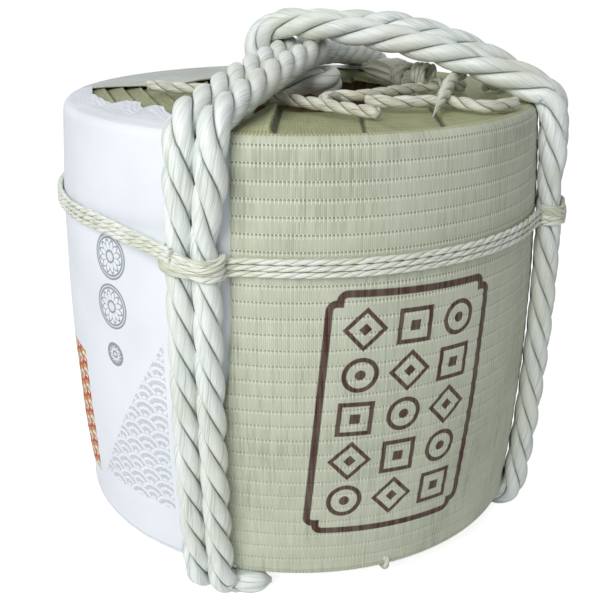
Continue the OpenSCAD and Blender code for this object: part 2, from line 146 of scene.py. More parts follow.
@dataclass(frozen=True)
class FibreFinish:
    """Twisted plant fibre: fine glossy lines along each strand, with a painted shade where strands meet."""

    name: str
    light: str
    middle: str
    dark: str
    crease_shade: str
    patch: str
    line: float = 1.3
    line_length: float = 60.0
    roughness: float = 0.5
    depth: float = 0.5
    gloss: float = 0.5

    def make(self) -> bpy.types.Material:
        """Makes the material on the strand's own UV map, in metres round and along it."""
        material, t = new_material(self.name)
        uv = put(t, "UVMap", uv_map="surface")
        fine = put(t, "Mapping", uv, Scale=(1000 / self.line, 1000 / self.line_length, 1.0))
        lines = put(t, "TexNoise", Vector=fine, Scale=1.0, Detail=3.0, Roughness=0.65)
        broad = put(t, "Mapping", uv, Scale=(1000 / (self.line * 5), 1000 / (self.line_length * 2), 1.0))
        locks = put(t, "TexNoise", Vector=broad, Scale=1.0, Detail=1.0)
        both = put(t, "Math:ADD", put(t, "Math:MULTIPLY", lines, 0.65), put(t, "Math:MULTIPLY", locks, 0.35))
        tone = put(t, "ValToRGB", both, stops=[(self.dark, 0.36), (self.light, 0.6), (self.middle, 0.46)])
        place = put(t, "TexCoord").outputs["Object"]
        clouds = put(t, "TexNoise", Vector=place, Scale=14.0, Detail=2.0)
        share = put(t, "MapRange", clouds, 0.45, 0.7, 0.0, 0.5)
        tinted = put(t, "MixRGB", share, tone, self.patch)
        # Painted shade: the colour darkens towards the crease colour where the valley attribute nears 1
        valley = put(t, "Attribute", attribute_name="valley").outputs["Fac"]
        shade = put(t, "MapRange", valley, 0.86, 1.0, 0.0, 0.78, interpolation_type="SMOOTHSTEP")
        colour = put(t, "MixRGB", shade, tinted, self.crease_shade)
        close_material(t, colour, both, self.depth * MM, self.roughness, Specular_IOR_Level=self.gloss)
        return material


@dataclass(frozen=True)
class StampFrame:
    """The brown frame printed on the mat, with rows of plain geometric marks in it."""

    centre: tuple[float, float] = (0.7004, 0.2427)
    half: tuple[float, float] = (0.0995, 0.148)
    shear: tuple[float, float] = (0.087, 0.03)
    notch: float = 0.011
    stroke: float = 0.0042
    cell: tuple[float, float] = (0.058, 0.0535)
    mark: float = 0.0182
    ink: str = "#45231d"

    def cover(self, t: bpy.types.NodeTree, u: bpy.types.Node, v: bpy.types.Node) -> bpy.types.Node:
        """Adds the nodes that say where the ink lies.

        Args:
            t: the node tree.
            u: metres round the cask.
            v: metres up.

        Returns:
            The node that is 1 under ink and 0 elsewhere.
        """
        du = put(t, "Math:SUBTRACT", u, self.centre[0])
        dv = put(t, "Math:SUBTRACT", v, self.centre[1])
        x = put(t, "Math:SUBTRACT", du, put(t, "Math:MULTIPLY", dv, self.shear[0]))
        y = put(t, "Math:ADD", dv, put(t, "Math:MULTIPLY", du, self.shear[1]))
        ax, ay = put(t, "Math:ABSOLUTE", x), put(t, "Math:ABSOLUTE", y)
        boxes = []
        for dx, dy in ((0.0, self.notch), (self.notch, 0.0)):
            qx = put(t, "Math:SUBTRACT", ax, self.half[0] - dx - 0.008)
            qy = put(t, "Math:SUBTRACT", ay, self.half[1] - dy - 0.008)
            px, py = put(t, "Math:MAXIMUM", qx, 0.0), put(t, "Math:MAXIMUM", qy, 0.0)
            outside = distance(t, px, py)
            inside = put(t, "Math:MINIMUM", put(t, "Math:MAXIMUM", qx, qy), 0.0)
            boxes.append(put(t, "Math:ADD", outside, inside))
        away = put(t, "Math:SUBTRACT", put(t, "Math:MINIMUM", *boxes), 0.008)
        line = put(t, "Math:ABSOLUTE", away)
        frame_ink = put(t, "MapRange", line, self.stroke - 0.0006, self.stroke + 0.0006, 1.0, 0.0)
        column = put(t, "Math:DIVIDE", x, self.cell[0])
        row = put(t, "Math:DIVIDE", y, self.cell[1])
        cx = put(t, "Math:MULTIPLY", put(t, "Math:SUBTRACT", column, put(t, "Math:ROUND", column)),
                 self.cell[0])
        cy = put(t, "Math:MULTIPLY", put(t, "Math:SUBTRACT", row, put(t, "Math:ROUND", row)), self.cell[1])
        bx, by = put(t, "Math:ABSOLUTE", cx), put(t, "Math:ABSOLUTE", cy)
        ring = distance(t, bx, by)
        lozenge = put(t, "Math:MULTIPLY", put(t, "Math:ADD", bx, by), 0.82)
        square = put(t, "Math:MAXIMUM", bx, by)
        order = put(t, "Math:FLOORED_MODULO", put(t, "Math:ADD", put(t, "Math:ROUND", row),
                                                  put(t, "Math:ROUND", column)), 3.0)
        first = put(t, "MixRGB", put(t, "Math:GREATER_THAN", order, 0.5), ring, lozenge)
        shape = put(t, "MixRGB", put(t, "Math:GREATER_THAN", order, 1.5), first, square)
        edge = put(t, "Math:ABSOLUTE", put(t, "Math:SUBTRACT", shape, self.mark))
        outline = put(t, "MapRange", edge, 0.0023, 0.0032, 1.0, 0.0)
        core = put(t, "MapRange", shape, 0.0056, 0.0064, 1.0, 0.0)
        whole = put(t, "Math:MULTIPLY", put(t, "Math:LESS_THAN", ax, self.cell[0] * 1.5),
                    put(t, "Math:LESS_THAN", ay, self.cell[1] * 2.5))
        marks = put(t, "Math:MULTIPLY", put(t, "Math:MAXIMUM", outline, core), whole)
        return put(t, "Math:MAXIMUM", frame_ink, marks)


@dataclass(frozen=True)
class MatFinish:
    """Rush-like matting: flat stalks held by cords, which leave a notched line at each band.

    The stalks are a satin green straw, so the eye sees fine upright lines with a painted shade
    between them, soft bands and a row of bright dashes, a painted highlight where every second
    stalk comes over the cord.
    """

    name: str
    light: str = "#d4d9c6"
    middle: str = "#c5cbb6"
    dark: str = "#a2a895"
    joint: str = "#6c7358"
    # The bright dash colour is a painted highlight on the stalks that come over the cord
    dash_highlight: str = "#f0f0e0"
    stalk: float = 2.1
    stamp: StampFrame | None = None
    dash_share: float = 0.75
    edge_row: float = 0.0
    shadow: str = "#2f3020"

    def make(self) -> bpy.types.Material:
        """Makes the material on the wrapping's UV map: metres round the cask and up it."""
        material, t = new_material(self.name)
        uv = put(t, "UVMap", uv_map="surface")
        parts = put(t, "SeparateXYZ", uv)
        u, v = parts.outputs[0], parts.outputs[1]
        stalks = put(t, "Math:DIVIDE", u, self.stalk * MM)
        wave = put(t, "Math:SINE", put(t, "Math:MULTIPLY", stalks, math.pi))
        valley = put(t, "Attribute", attribute_name="valley").outputs["Fac"]
        turn = put(t, "Math:MAXIMUM", put(t, "Math:MINIMUM", put(t, "Math:MULTIPLY", wave, 2.5), 1.0), -1.0)
        band = put(t, "Math:ADD", put(t, "Math:DIVIDE", v, BAND * MM), put(t, "Math:MULTIPLY", turn, 0.045))
        share = put(t, "Math:FRACT", band)
        reach = put(t, "Math:MULTIPLY", put(t, "Math:MINIMUM", share, put(t, "Math:SUBTRACT", 1.0, share)),
                    BAND)
        joint = put(t, "MapRange", reach, 0.2, 1.2, 1.0, 0.0, interpolation_type="SMOOTHSTEP")
        rib = put(t, "Math:ABSOLUTE", put(t, "Math:SINE", put(t, "Math:MULTIPLY", stalks, math.pi)))
        which = put(t, "CombineXYZ", put(t, "Math:FLOOR", stalks), put(t, "Math:MULTIPLY", band, 0.35))
        tint = put(t, "TexNoise", Vector=which, Scale=0.83, Detail=1.0)
        place = put(t, "TexCoord").outputs["Object"]
        clouds = put(t, "TexNoise", Vector=place, Scale=9.0, Detail=3.0, Roughness=0.6)
        mixed = put(t, "Math:ADD", put(t, "Math:MULTIPLY", tint, 0.45), put(t, "Math:MULTIPLY", clouds, 0.55))
        tone = put(t, "ValToRGB", mixed, stops=[(self.dark, 0.28), (self.light, 0.66), (self.middle, 0.47)])
        # Painted highlight: bright dashes beside each joint on the stalks that come over the cord, and a row
        # along edge_row when it is set; the same mask raises the bump
        near = put(t, "MapRange", reach, 1.4, 3.6, 1.0, 0.0)
        if self.edge_row:
            row = put(t, "Math:ABSOLUTE", put(t, "Math:SUBTRACT", v, self.edge_row))
            near = put(t, "Math:MAXIMUM", near, put(t, "MapRange", row, 0.002, 0.0045, 1.5, 0.0))
        over = put(t, "MapRange", turn, -0.2, 0.8, 0.0, 1.0)
        raised = put(t, "Math:MULTIPLY", near, over)
        # Painted shade in the grooves between stalks, towards the dark colour
        ribbed = put(t, "MixRGB", put(t, "MapRange", rib, 0.0, 0.45, 0.4, 0.0), tone, self.dark)
        plain = put(t, "MapRange", v, 0.12, 0.42, 0.35, 1.0)
        sunk = put(t, "Math:MULTIPLY", put(t, "Math:MULTIPLY", joint, plain),
                   put(t, "MapRange", over, 0.0, 1.0, 0.75, 0.2))
        joined = put(t, "MixRGB", sunk, ribbed, self.joint)
        bright = put(t, "Math:MULTIPLY", raised, put(t, "MapRange", plain, 0.35, 1.0, self.dash_share * 0.6,
                                                     self.dash_share))
        dashed = put(t, "MixRGB", bright, joined, self.dash_highlight)
        colour = put(t, "MixRGB", put(t, "MapRange", valley, 0.0, 1.0, 0.0, 0.9), dashed, self.shadow)
        if self.stamp is not None:
            worn = put(t, "MapRange", tint, 0.3, 0.62, 1.0, 0.86)
            ink = put(t, "Math:MULTIPLY", self.stamp.cover(t, u, v), worn)
            colour = put(t, "MixRGB", ink, colour, self.stamp.ink)
        height = put(t, "Math:ADD", put(t, "Math:MULTIPLY", rib, 0.4),
                     put(t, "Math:SUBTRACT", put(t, "Math:MULTIPLY", raised, 0.5), joint))
        close_material(t, colour, height, 0.45 * MM, 0.55, Specular_IOR_Level=0.25)
        return material


@dataclass(frozen=True)
class PrintFinish:
    """Smooth white cloth with a generic print: a sun, two colours of wave scales, grey rosettes."""

    name: str
    ground: str = "#eef3fa"
    shade: str = "#e4e9f1"
    red: str = "#b8322f"
    gold: str = "#c9a24e"
    grey: str = "#7b8087"
    scale: float = 0.046
    sun: float = 0.0982
    halo: float = 0.108
    sun_height: float = 0.372
    crest: float = 0.235
    water_foot: float = 0.085
    water_side: float = 0.262
    flank: tuple[float, float] = (0.285, 0.425)
    rosettes: tuple[tuple[tuple[float, float], float], ...] = (
        ((0.345, 0.405), 0.026), ((0.345, 0.345), 0.026), ((0.345, 0.285), 0.014))

    def scales(self, t: bpy.types.NodeTree, u: object, v: object) -> bpy.types.Node:
        """Adds the nodes of overlapping wave scales: rings round the centre of each scale.

        Each row of round scales is set off by half a scale and hides the lower half of the row
        above it, so a point belongs to the lower row's scale where it lies inside that, and
        otherwise to the upper row's.

        Args:
            t: the node tree.
            u: metres round the cask.
            v: metres up.

        Returns:
            The node with the distance from the scale's centre, in shares of its radius.
        """
        radius = self.scale / 2
        row = put(t, "Math:FLOOR", put(t, "Math:DIVIDE", v, radius / 2))
        found = []
        for lower in (1.0, 0.0):
            this = put(t, "Math:SUBTRACT", row, lower)
            shift = put(t, "Math:MULTIPLY", put(t, "Math:FLOORED_MODULO", this, 2.0), 0.5)
            x = put(t, "Math:SUBTRACT", put(t, "Math:DIVIDE", u, self.scale), shift)
            x = put(t, "Math:MULTIPLY", put(t, "Math:SUBTRACT", x, put(t, "Math:ROUND", x)), 2.0)
            y = put(t, "Math:SUBTRACT", put(t, "Math:DIVIDE", v, radius), put(t, "Math:MULTIPLY", this, 0.5))
            found.append(distance(t, x, y))
        return put(t, "MixRGB", put(t, "Math:LESS_THAN", found[0], 1.0), found[1], found[0])

    def rosette(self, t: bpy.types.NodeTree, u: object, v: object, centre: tuple[float, float],
                radius: float) -> bpy.types.Node:
        """Adds a ring with twelve petals in it.

        Args:
            t: the node tree.
            u: metres round the cask, from the middle of the face to either side.
            v: metres up.
            centre: the rosette's place, in metres.
            radius: its radius, in metres.

        Returns:
            The node that is 1 on the rosette's lines.
        """
        x = put(t, "Math:SUBTRACT", u, centre[0])
        y = put(t, "Math:SUBTRACT", v, centre[1])
        away = distance(t, x, y)
        angle = put(t, "Math:ARCTAN2", y, x)
        petal = put(t, "Math:ABSOLUTE", put(t, "Math:SINE", put(t, "Math:MULTIPLY", angle, 6.0)))
        edge = put(t, "Math:ADD", put(t, "Math:MULTIPLY", petal, radius * 0.25), radius * 0.5)
        lines = [put(t, "Math:ABSOLUTE", put(t, "Math:SUBTRACT", away, size))
                 for size in (radius, radius * 0.86, edge, radius * 0.26)]
        nearest = lines[0]
        for line in lines[1:]:
            nearest = put(t, "Math:MINIMUM", nearest, line)
        spokes = put(t, "Math:MULTIPLY", put(t, "Math:LESS_THAN", petal, 0.16),
                     put(t, "Math:LESS_THAN", away, radius * 0.6))
        ring = put(t, "MapRange", nearest, 0.0008, 0.0016, 1.0, 0.0)
        return put(t, "Math:MULTIPLY", put(t, "Math:MAXIMUM", ring, spokes),
                   put(t, "Math:LESS_THAN", away, radius * 1.06))

    def layers(self, t: bpy.types.NodeTree, uv: bpy.types.Node, u: bpy.types.NodeSocket,
               v: bpy.types.NodeSocket) -> list[tuple[bpy.types.Node, str]]:
        """Adds the nodes of the print: how far each ink covers the cloth, from the lowest layer up.

        The wave scales stand under a crest that swells with the cosine of the way round.

        Args:
            t: the node tree.
            uv: the cloth's UV map.
            u: metres round the cask from the middle of the face.
            v: metres up.

        Returns:
            The covers, each with its ink.
        """
        side = put(t, "Math:ABSOLUTE", u)
        sun = distance(t, u, put(t, "Math:SUBTRACT", v, self.sun_height))
        disc = put(t, "MapRange", sun, self.sun, self.sun + 0.001, 1.0, 0.0)
        halo = put(t, "MapRange", put(t, "Math:ABSOLUTE", put(t, "Math:SUBTRACT", sun, self.halo)),
                   0.002, 0.0028, 1.0, 0.0)
        away = self.scales(t, u, v)
        share = put(t, "Math:FRACT", put(t, "Math:MULTIPLY", away, 2.5))
        rings = put(t, "Math:GREATER_THAN", share, 0.42)
        swell = put(t, "Math:MULTIPLY", put(t, "Math:COSINE", put(t, "Math:MULTIPLY", u, 13.0)), 0.025)
        crest = put(t, "Math:SUBTRACT", put(t, "Math:SUBTRACT", self.crest, swell), v)
        water = put(t, "Math:MULTIPLY", put(t, "Math:GREATER_THAN", crest, 0.0),
                    put(t, "Math:GREATER_THAN", v, self.water_foot))
        middle = put(t, "Math:MULTIPLY", water, put(t, "Math:LESS_THAN", side, self.water_side))
        gold_part = put(t, "Math:MULTIPLY", middle, rings)
        red_part = put(t, "Math:MULTIPLY", middle, put(t, "Math:GREATER_THAN", away, 0.8))
        fade = put(t, "MapRange", put(t, "TexNoise", Vector=uv, Scale=900.0, Detail=0.0), 0.44, 0.5,
                   0.0, 0.8)
        flank = put(t, "Math:MULTIPLY", put(t, "Math:GREATER_THAN", side, self.flank[0]),
                    put(t, "Math:LESS_THAN", side, self.flank[1]))
        tall = put(t, "Math:MULTIPLY", put(t, "Math:LESS_THAN", v, put(
            t, "Math:ADD", put(t, "Math:MULTIPLY", side, 1.6), -0.36)),
            put(t, "Math:GREATER_THAN", v, 0.1))
        sprays = put(t, "Math:MULTIPLY", put(t, "Math:MULTIPLY", flank, tall),
                     put(t, "Math:MULTIPLY", rings, fade))
        covers = [(put(t, "Math:MULTIPLY", sprays, 0.75), self.grey), (gold_part, self.gold),
                  (red_part, self.red), (disc, self.red), (halo, self.gold)]
        for centre, radius in self.rosettes:
            rosette = self.rosette(t, side, v, centre, radius)
            covers.append((put(t, "Math:MULTIPLY", rosette, 0.85), self.grey))
        return covers

    def make(self, printed: bool = True) -> bpy.types.Material:
        """Makes the material. The print follows the cloth's UV map, in metres round and up.

        Args:
            printed: False for the plain margin that is folded over.

        Returns:
            The material.
        """
        material, t = new_material(self.name)
        uv = put(t, "UVMap", uv_map="surface")
        parts = put(t, "SeparateXYZ", uv)
        u, v = parts.outputs[0], parts.outputs[1]
        place = put(t, "TexCoord").outputs["Object"]
        clouds = put(t, "TexNoise", Vector=place, Scale=7.0, Detail=3.0)
        colour = put(t, "ValToRGB", clouds, stops=[(self.shade, 0.3), (self.ground, 0.6)])
        if printed:
            for cover, ink in self.layers(t, uv, u, v):
                colour = put(t, "MixRGB", cover, colour, ink)
        weave = put(t, "TexNoise", Vector=put(t, "Mapping", uv, Scale=(420.0, 60.0, 1.0)), Scale=1.0,
                    Detail=2.0)
        close_material(t, colour, weave, 0.35 * MM, 0.55, Specular_IOR_Level=0.4)
        return material


@dataclass(frozen=True)
class WoodFinish:
    """Planed cedar: narrow darker growth lines along the grain on a warm pale ground."""

    name: str
    # The default cedar colours are the wood's grain and tone, made darker and greyer as painted shade for the
    # wood seen in the shaded mouth
    early: str = "#a99a7d"
    late: str = "#7b6c53"
    grain: tuple[float, float, float] = (90.0, 90.0, 5.0)
    roughness: float = 0.55

    def make(self) -> bpy.types.Material:
        """Makes the material on Object coordinates, with the grain along the longest scale."""
        material, t = new_material(self.name)
        place = put(t, "TexCoord").outputs["Object"]
        stretched = put(t, "Mapping", place, Scale=self.grain)
        lines = put(t, "TexNoise", Vector=stretched, Scale=1.0, Detail=4.0, Roughness=0.6)
        pores = put(t, "TexNoise", Vector=stretched, Scale=6.0, Detail=2.0)
        tone = put(t, "ValToRGB", lines, stops=[(self.late, 0.36), (self.early, 0.58)])
        close_material(t, tone, put(t, "Math:ADD", lines, put(t, "Math:MULTIPLY", pores, 0.3)), 0.3 * MM,
                       self.roughness)
        return material


class Finish(Enum):
    """The finishes of the cask, each from what the real material is."""

    # Thick rope of flat glossy fibre, laid in three strands: silvery with a green cast
    SLING = FibreFinish("laid_fibre_rope", "#f6faf9", "#e2e9e5", "#b2bcb4", "#5a6455", "#d6d9c6",
                        line=1.7, line_length=80.0, roughness=0.4, depth=0.9, gloss=0.6)
    # Two-strand cord of the same fibre, drawn tight, in paler colours than the windings
    CORD = FibreFinish("twisted_waist_cord", "#f3f5f0", "#dde1d6", "#b3b9a6", "#5b614c", "#cfd2b4",
                       line=0.9, line_length=25.0, depth=0.25)
    # The same cord where it is wound flat round the ropes, in darker colours
    WINDING = FibreFinish("flat_wound_cord", "#e9ebde", "#c9cdb8", "#9aa088", "#59604a", "#bfc3a8",
                          line=0.8, line_length=30.0, depth=0.3)
    # Rough straw rope, creamy, with broken fibre
    LACING = FibreFinish("twisted_straw_rope", "#ecece4", "#d2d2c4", "#99977f", "#4c4a38", "#c3bf9f",
                         line=1.0, line_length=30.0, roughness=0.6, depth=0.6, gloss=0.35)
    # Loose fibre at a cut end
    TUFT = FibreFinish("gathered_matting", "#e4e7d8", "#c8ccb8", "#959b80", "#4a4d36", "#cdd0bd",
                       line=2.2, line_length=40.0, roughness=0.6, depth=1.0, gloss=0.3)
    STRAW = FibreFinish("rice_straw_padding", "#d9c68d", "#b9a468", "#7d6c3c", "#4f4426", "#c8b983",
                        line=3.0, line_length=60.0, roughness=0.7, depth=2.0, gloss=0.25)
    BAMBOO = WoodFinish("split_bamboo", "#d9cb8d", "#ab9a58", (60.0, 60.0, 400.0), 0.45)
    # Cedar staves and boards: grain in tones made darker and greyer, a painted shade for the shaded mouth
    CEDAR = WoodFinish("planed_cedar_upright")
    BOARD = WoodFinish("planed_cedar_flat", "#ab9874", "#806d4e", (5.0, 90.0, 90.0))
    BUNG = WoodFinish("turned_cedar", "#b8966a", "#8e6c45", (80.0, 80.0, 8.0), 0.5)


def mat_r(z: np.ndarray | float) -> np.ndarray:
    """Radius of the wrapping at height z: a cone with a parabolic belly, in millimetres."""
    t = (np.asarray(z, float) - WRAP_Z) / (RIDGE_Z - WRAP_Z)
    return BASE_R + (RIM_R - BASE_R) * t + 4 * BELLY * t * (1 - t)


def polar(az: np.ndarray, r: np.ndarray, z: np.ndarray) -> np.ndarray:
    """Points at angles az from the front in degrees, radii r and heights z."""
    a = np.radians(az)
    return np.stack(np.broadcast_arrays(r * np.sin(a), -r * np.cos(a), z), axis=-1)


def pull_tight(z: np.ndarray | float) -> np.ndarray:
    """Size of a thick rope at a height, 1 for full: drawn thin below the ridge and at the waist."""
    z = np.asarray(z, float)
    return 1 - 0.1 * ease(-z, -515, -455) - 0.08 * np.exp(-((z - 448) / 28) ** 2)


def ease(x: np.ndarray, low: float, high: float) -> np.ndarray:
    """A smooth step from 0 at low to 1 at high."""
    t = np.clip((x - low) / (high - low), 0.0, 1.0)
    return t * t * (3 - 2 * t)


def ripple(shape: tuple[int, ...], seed: int, waves: tuple[int, ...] = (3, 5, 8, 13)) -> np.ndarray:
    """A smooth uneven field over a grid: a sum of sines of chosen counts with random phases.

    Args:
        shape: rows and columns of the grid.
        seed: the seed of the random phases.
        waves: how many waves run over the grid's sides.

    Returns:
        Values of about -1 to 1.
    """
    rng = np.random.default_rng(seed)
    v, u = np.meshgrid(*(np.linspace(0, 2 * np.pi, n) for n in shape), indexing="ij")
    field_sum = sum(np.sin(k * u + rng.uniform(0, 6.28) + 2 * np.sin(v + rng.uniform(0, 6.28)))
                    * np.sin(k * 0.6 * v + rng.uniform(0, 6.28)) for k in waves)
    return field_sum / len(waves) * 1.4


def wrap_uv(az: np.ndarray, path: np.ndarray) -> np.ndarray:
    """The UV map of the wrapping: metres round it at angles az, and metres up it at places path."""
    return np.stack([np.radians(az) * UV_RADIUS, np.broadcast_to(path, az.shape) * MM], axis=-1)


def surface(name: str, points: np.ndarray, uv: np.ndarray, valley: np.ndarray | None = None,
            round_closed: bool = False, along_closed: bool = False, capped: bool = False) -> bpy.types.Object:
    """Makes a mesh of quads from a grid of points.

    Args:
        name: the piece's name.
        points: rows by columns by 3, in millimetres.
        uv: rows by columns by 2, in metres, with one more column or row where the grid closes.
        valley: a value per point that the finish reads: how much painted shade lies there.
        round_closed: whether the last column joins the first.
        along_closed: whether the last row joins the first.
        capped: whether the first and last rows are closed by a face.

    Returns:
        The new object, at the origin.
    """
    rows, cols = points.shape[:2]
    r, c = np.meshgrid(np.arange(rows - (not along_closed)), np.arange(cols - (not round_closed)),
                       indexing="ij")
    corners = ((r, c), (r, c + 1), (r + 1, c + 1), (r + 1, c))
    index = np.stack([(a % rows) * cols + b % cols for a, b in corners], axis=-1).reshape(-1, 4)
    where = np.stack([a * uv.shape[1] + b for a, b in corners], axis=-1).reshape(-1)
    faces = index.tolist()
    loop_uv = uv.reshape(-1, 2)[where]
    if capped:
        faces += [list(range(cols - 1, -1, -1)), list(range((rows - 1) * cols, rows * cols))]
        loop_uv = np.concatenate([loop_uv, np.zeros((2 * cols, 2))])
    mesh = bpy.data.meshes.new(name)
    mesh.from_pydata((points.reshape(-1, 3) * MM).tolist(), [], faces)
    mesh.uv_layers.new(name="surface").data.foreach_set("uv", loop_uv.astype(np.float32).ravel())
    level = np.zeros(rows * cols) if valley is None else valley.reshape(-1)
    mesh.attributes.new("valley", "FLOAT", "POINT").data.foreach_set("value", level.astype(np.float32))
    mesh.polygons.foreach_set("use_smooth", np.ones(len(faces), bool))
    mesh.update()
    piece = bpy.data.objects.new(name, mesh)
    bpy.context.scene.collection.objects.link(piece)
    return piece


def dress(piece: bpy.types.Object, material: bpy.types.Material, slot: str, *nodes: str,
          body: str = BODY) -> bpy.types.Object:
    """Gives a new piece its material and its body, and hides the CAD nodes that it stands for."""
    piece.data.materials.append(material)
    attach(piece, body)
    if nodes:
        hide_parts(*nodes)
    LOG.info("%s: %d faces", piece.name, len(piece.data.polygons))
    return piece


def thicken(piece: bpy.types.Object, thickness: float) -> None:
    """Gives a sheet its thickness, inwards from the surface it was made on."""
    wall = piece.modifiers.new("thickness", "SOLIDIFY")
    wall.thickness, wall.offset = thickness * MM, -1.0


def smooth_route(points: np.ndarray, step: float, closed: bool = False) -> np.ndarray:
    """Puts even points on a smooth curve through given ones.

    Each span is a cubic through its two ends, whose slopes are half the way between their
    neighbours, and the curve is then cut at even lengths.

    Args:
        points: the points to pass, in millimetres.
        step: the wanted spacing.
        closed: whether the curve ends where it starts.

    Returns:
        The points, without a repeated last one where the curve is closed.
    """
    p = np.asarray(points, float)
    p = np.vstack([p[-1], p, p[0], p[1]]) if closed else np.vstack([2 * p[0] - p[1], p, 2 * p[-1] - p[-2]])
    a, b, c, d = (p[k:len(p) - 3 + k, None] for k in range(4))
    t = np.linspace(0, 1, 24, endpoint=False)[None, :, None]
    fine = 0.5 * (2 * b + (c - a) * t + (2 * a - 5 * b + 4 * c - d) * t ** 2
                  + (3 * b - a - 3 * c + d) * t ** 3)
    fine = np.vstack([fine.reshape(-1, p.shape[1]), p[-2]])
    run = np.concatenate([[0], np.cumsum(np.linalg.norm(np.diff(fine, axis=0), axis=1))])
    count = max(int(round(run[-1] / step)), 2)
    places = np.linspace(0, run[-1], count + 1)
    even = np.stack([np.interp(places, run, fine[:, k]) for k in range(p.shape[1])], axis=1)
    return even[:-1] if closed else even


def carried_frames(route: np.ndarray, closed: bool) -> tuple[np.ndarray, np.ndarray]:
    """Carries a cross direction along a route without twisting it.

    At each point the last direction is turned by the least turn that makes it square to the new
    tangent. Round a closed route, the twist left at the end is shared out evenly.

    Args:
        route: the even points of the route.
        closed: whether it is closed.

    Returns:
        The two cross directions at each point; with the tangent they are a right-handed frame.
    """
    if closed:
        tangent = np.roll(route, -1, axis=0) - np.roll(route, 1, axis=0)
    else:
        tangent = np.gradient(route, axis=0)
    tangent /= np.linalg.norm(tangent, axis=1)[:, None]
    first = np.array([0.0, 0.0, 1.0]) if abs(tangent[0, 2]) < 0.8 else np.array([1.0, 0.0, 0.0])
    normal = np.zeros_like(route)
    last = first
    for k, t in enumerate(tangent):
        last = last - (last @ t) * t
        last = last / np.linalg.norm(last)
        normal[k] = last
    across = np.cross(tangent, normal)
    if closed:
        back = normal[-1] - (normal[-1] @ tangent[0]) * tangent[0]
        off = math.atan2(back @ across[0], back @ normal[0])
        twist = -off * np.arange(len(route))[:, None] / len(route)
        normal, across = (np.cos(twist) * normal + np.sin(twist) * across,
                          np.cos(twist) * across - np.sin(twist) * normal)
    return normal, across


@dataclass(frozen=True)
class Lay:
    """How a rope is laid: its strands, its radius at a valley and at a crest, its length and hand."""

    strands: int
    low: float
    high: float
    length: float
    hand: int
    per_strand: int = 20

    def profile(self) -> tuple[np.ndarray, np.ndarray, np.ndarray]:
        """Angles, radii and valley depth round the rope.

        Each strand is a full lobe pressed against the next: between valley and crest the radius
        follows a rounded arch, a power curve of the share of the way to the valley.
        """
        sector = 2 * np.pi / self.strands
        share = np.arange(self.per_strand) / self.per_strand - 0.5
        share = np.sign(share) * 0.5 * (1 - (1 - 2 * np.abs(share)) ** 1.25)
        off = np.tile(share * sector, self.strands)
        angle = off + np.repeat(np.arange(self.strands) * sector, self.per_strand)
        part = np.abs(off) / (sector / 2)
        reach = self.low + (self.high - self.low) * (1 - part ** 2.2) ** (1 / 1.9)
        return angle, reach, part


SLING_LAY = Lay(3, 8.0, 17.9, 134.0, -1)
CORD_LAY = Lay(2, 1.5, 3.4, 34.0, -1, 10)
WINDING_LAY = Lay(2, 1.9, 2.8, 60.0, 1, 8)
LASH_LAY = Lay(2, 0.9, 1.5, 14.0, 1, 8)
LASH_ROPE = Lay(2, 2.2, 3.6, 26.0, 1, 10)
LACING_LAY = Lay(2, 3.6, 7.6, 52.0, 1, 14)


def laid_rope(name: str, points: np.ndarray, lay: Lay, step: float, closed: bool = False,
              tight: bool = False, turn: float = 0.0, ragged: float = 0.0,
              point: float = 0.0) -> bpy.types.Object:
    """Makes a rope of twisted strands along a route.

    The cross-section turns by a full turn each lay length, and the mesh's columns turn with it,
    so the valleys between strands lie along its edges. The UV map does not turn, so that
    the fibres run along the rope, as they do in a laid one. Nothing goes below the floor.

    Args:
        name: the piece's name.
        points: the route.
        lay: how the rope is laid.
        step: the spacing of the rings.
        closed: whether the route is closed.
        tight: whether the rope thins where it is drawn tight against the cask's wall.
        turn: the turn of the cross-section at the start, in radians.
        ragged: how far single fibres stand off, in millimetres.
        point: the share of the rope that tapers to a point at its end.

    Returns:
        The piece.
    """
    route = smooth_route(points, step, closed)
    normal, across = carried_frames(route, closed)
    size = pull_tight(route[:, 2]) if tight else np.ones(len(route))
    if not closed:
        ends = np.minimum(np.arange(len(route)), np.arange(len(route))[::-1]) * step
        blunt = lay.high * 0.45
        size = size * np.sqrt(np.clip(1 - (1 - np.clip(ends / blunt, 0, 1)) ** 2, 0.02, 1))
    if point:
        size = size * (1 - 0.85 * ease(np.linspace(0, 1, len(route)), 1 - point, 1.0))
    angle, reach, valley = lay.profile()
    length = step * len(route)
    turns = max(round(length / lay.length * lay.strands) / lay.strands, 1 / lay.strands) if closed \
        else length / lay.length
    spin = turn + lay.hand * 2 * np.pi * turns * np.arange(len(route)) / len(route)
    theta = angle[None, :] + spin[:, None]
    wobble = 1 + 0.02 * ripple((len(route), len(angle)), len(name), (2, 3))
    wide = reach[None, :] * size[:, None] * np.minimum(wobble, 1.0)
    if ragged:
        wide = wide + ragged * ripple((len(route), len(angle)), len(name) + 3, (11, 17, 23)) * size[:, None]
    points_3d = (route[:, None] + wide[..., None] * (np.cos(theta)[..., None] * normal[:, None]
                                                     + np.sin(theta)[..., None] * across[:, None]))
    points_3d[..., 2] = np.maximum(points_3d[..., 2], 0.0)
    if closed:
        shift = round(turns * lay.strands) * lay.per_strand * lay.hand
        if shift % len(angle):
            LOG.warning("%s closes with its strands shifted", name)
    rows = len(route) + closed
    spun = spin if not closed else np.append(spin, 2 * spin[-1] - spin[-2])
    u = (np.linspace(0, 2 * np.pi, len(angle) + 1)[None, :] + spun[:, None]) * lay.high * MM
    v = (np.arange(rows) * step * MM)[:, None] + np.zeros((1, len(angle) + 1))
    # The share of the way to each valley goes to the finish, which paints shade near the valleys
    return surface(name, points_3d, np.stack([u, v], axis=-1), np.tile(valley, (len(route), 1)),
                   round_closed=True, along_closed=closed, capped=not closed)


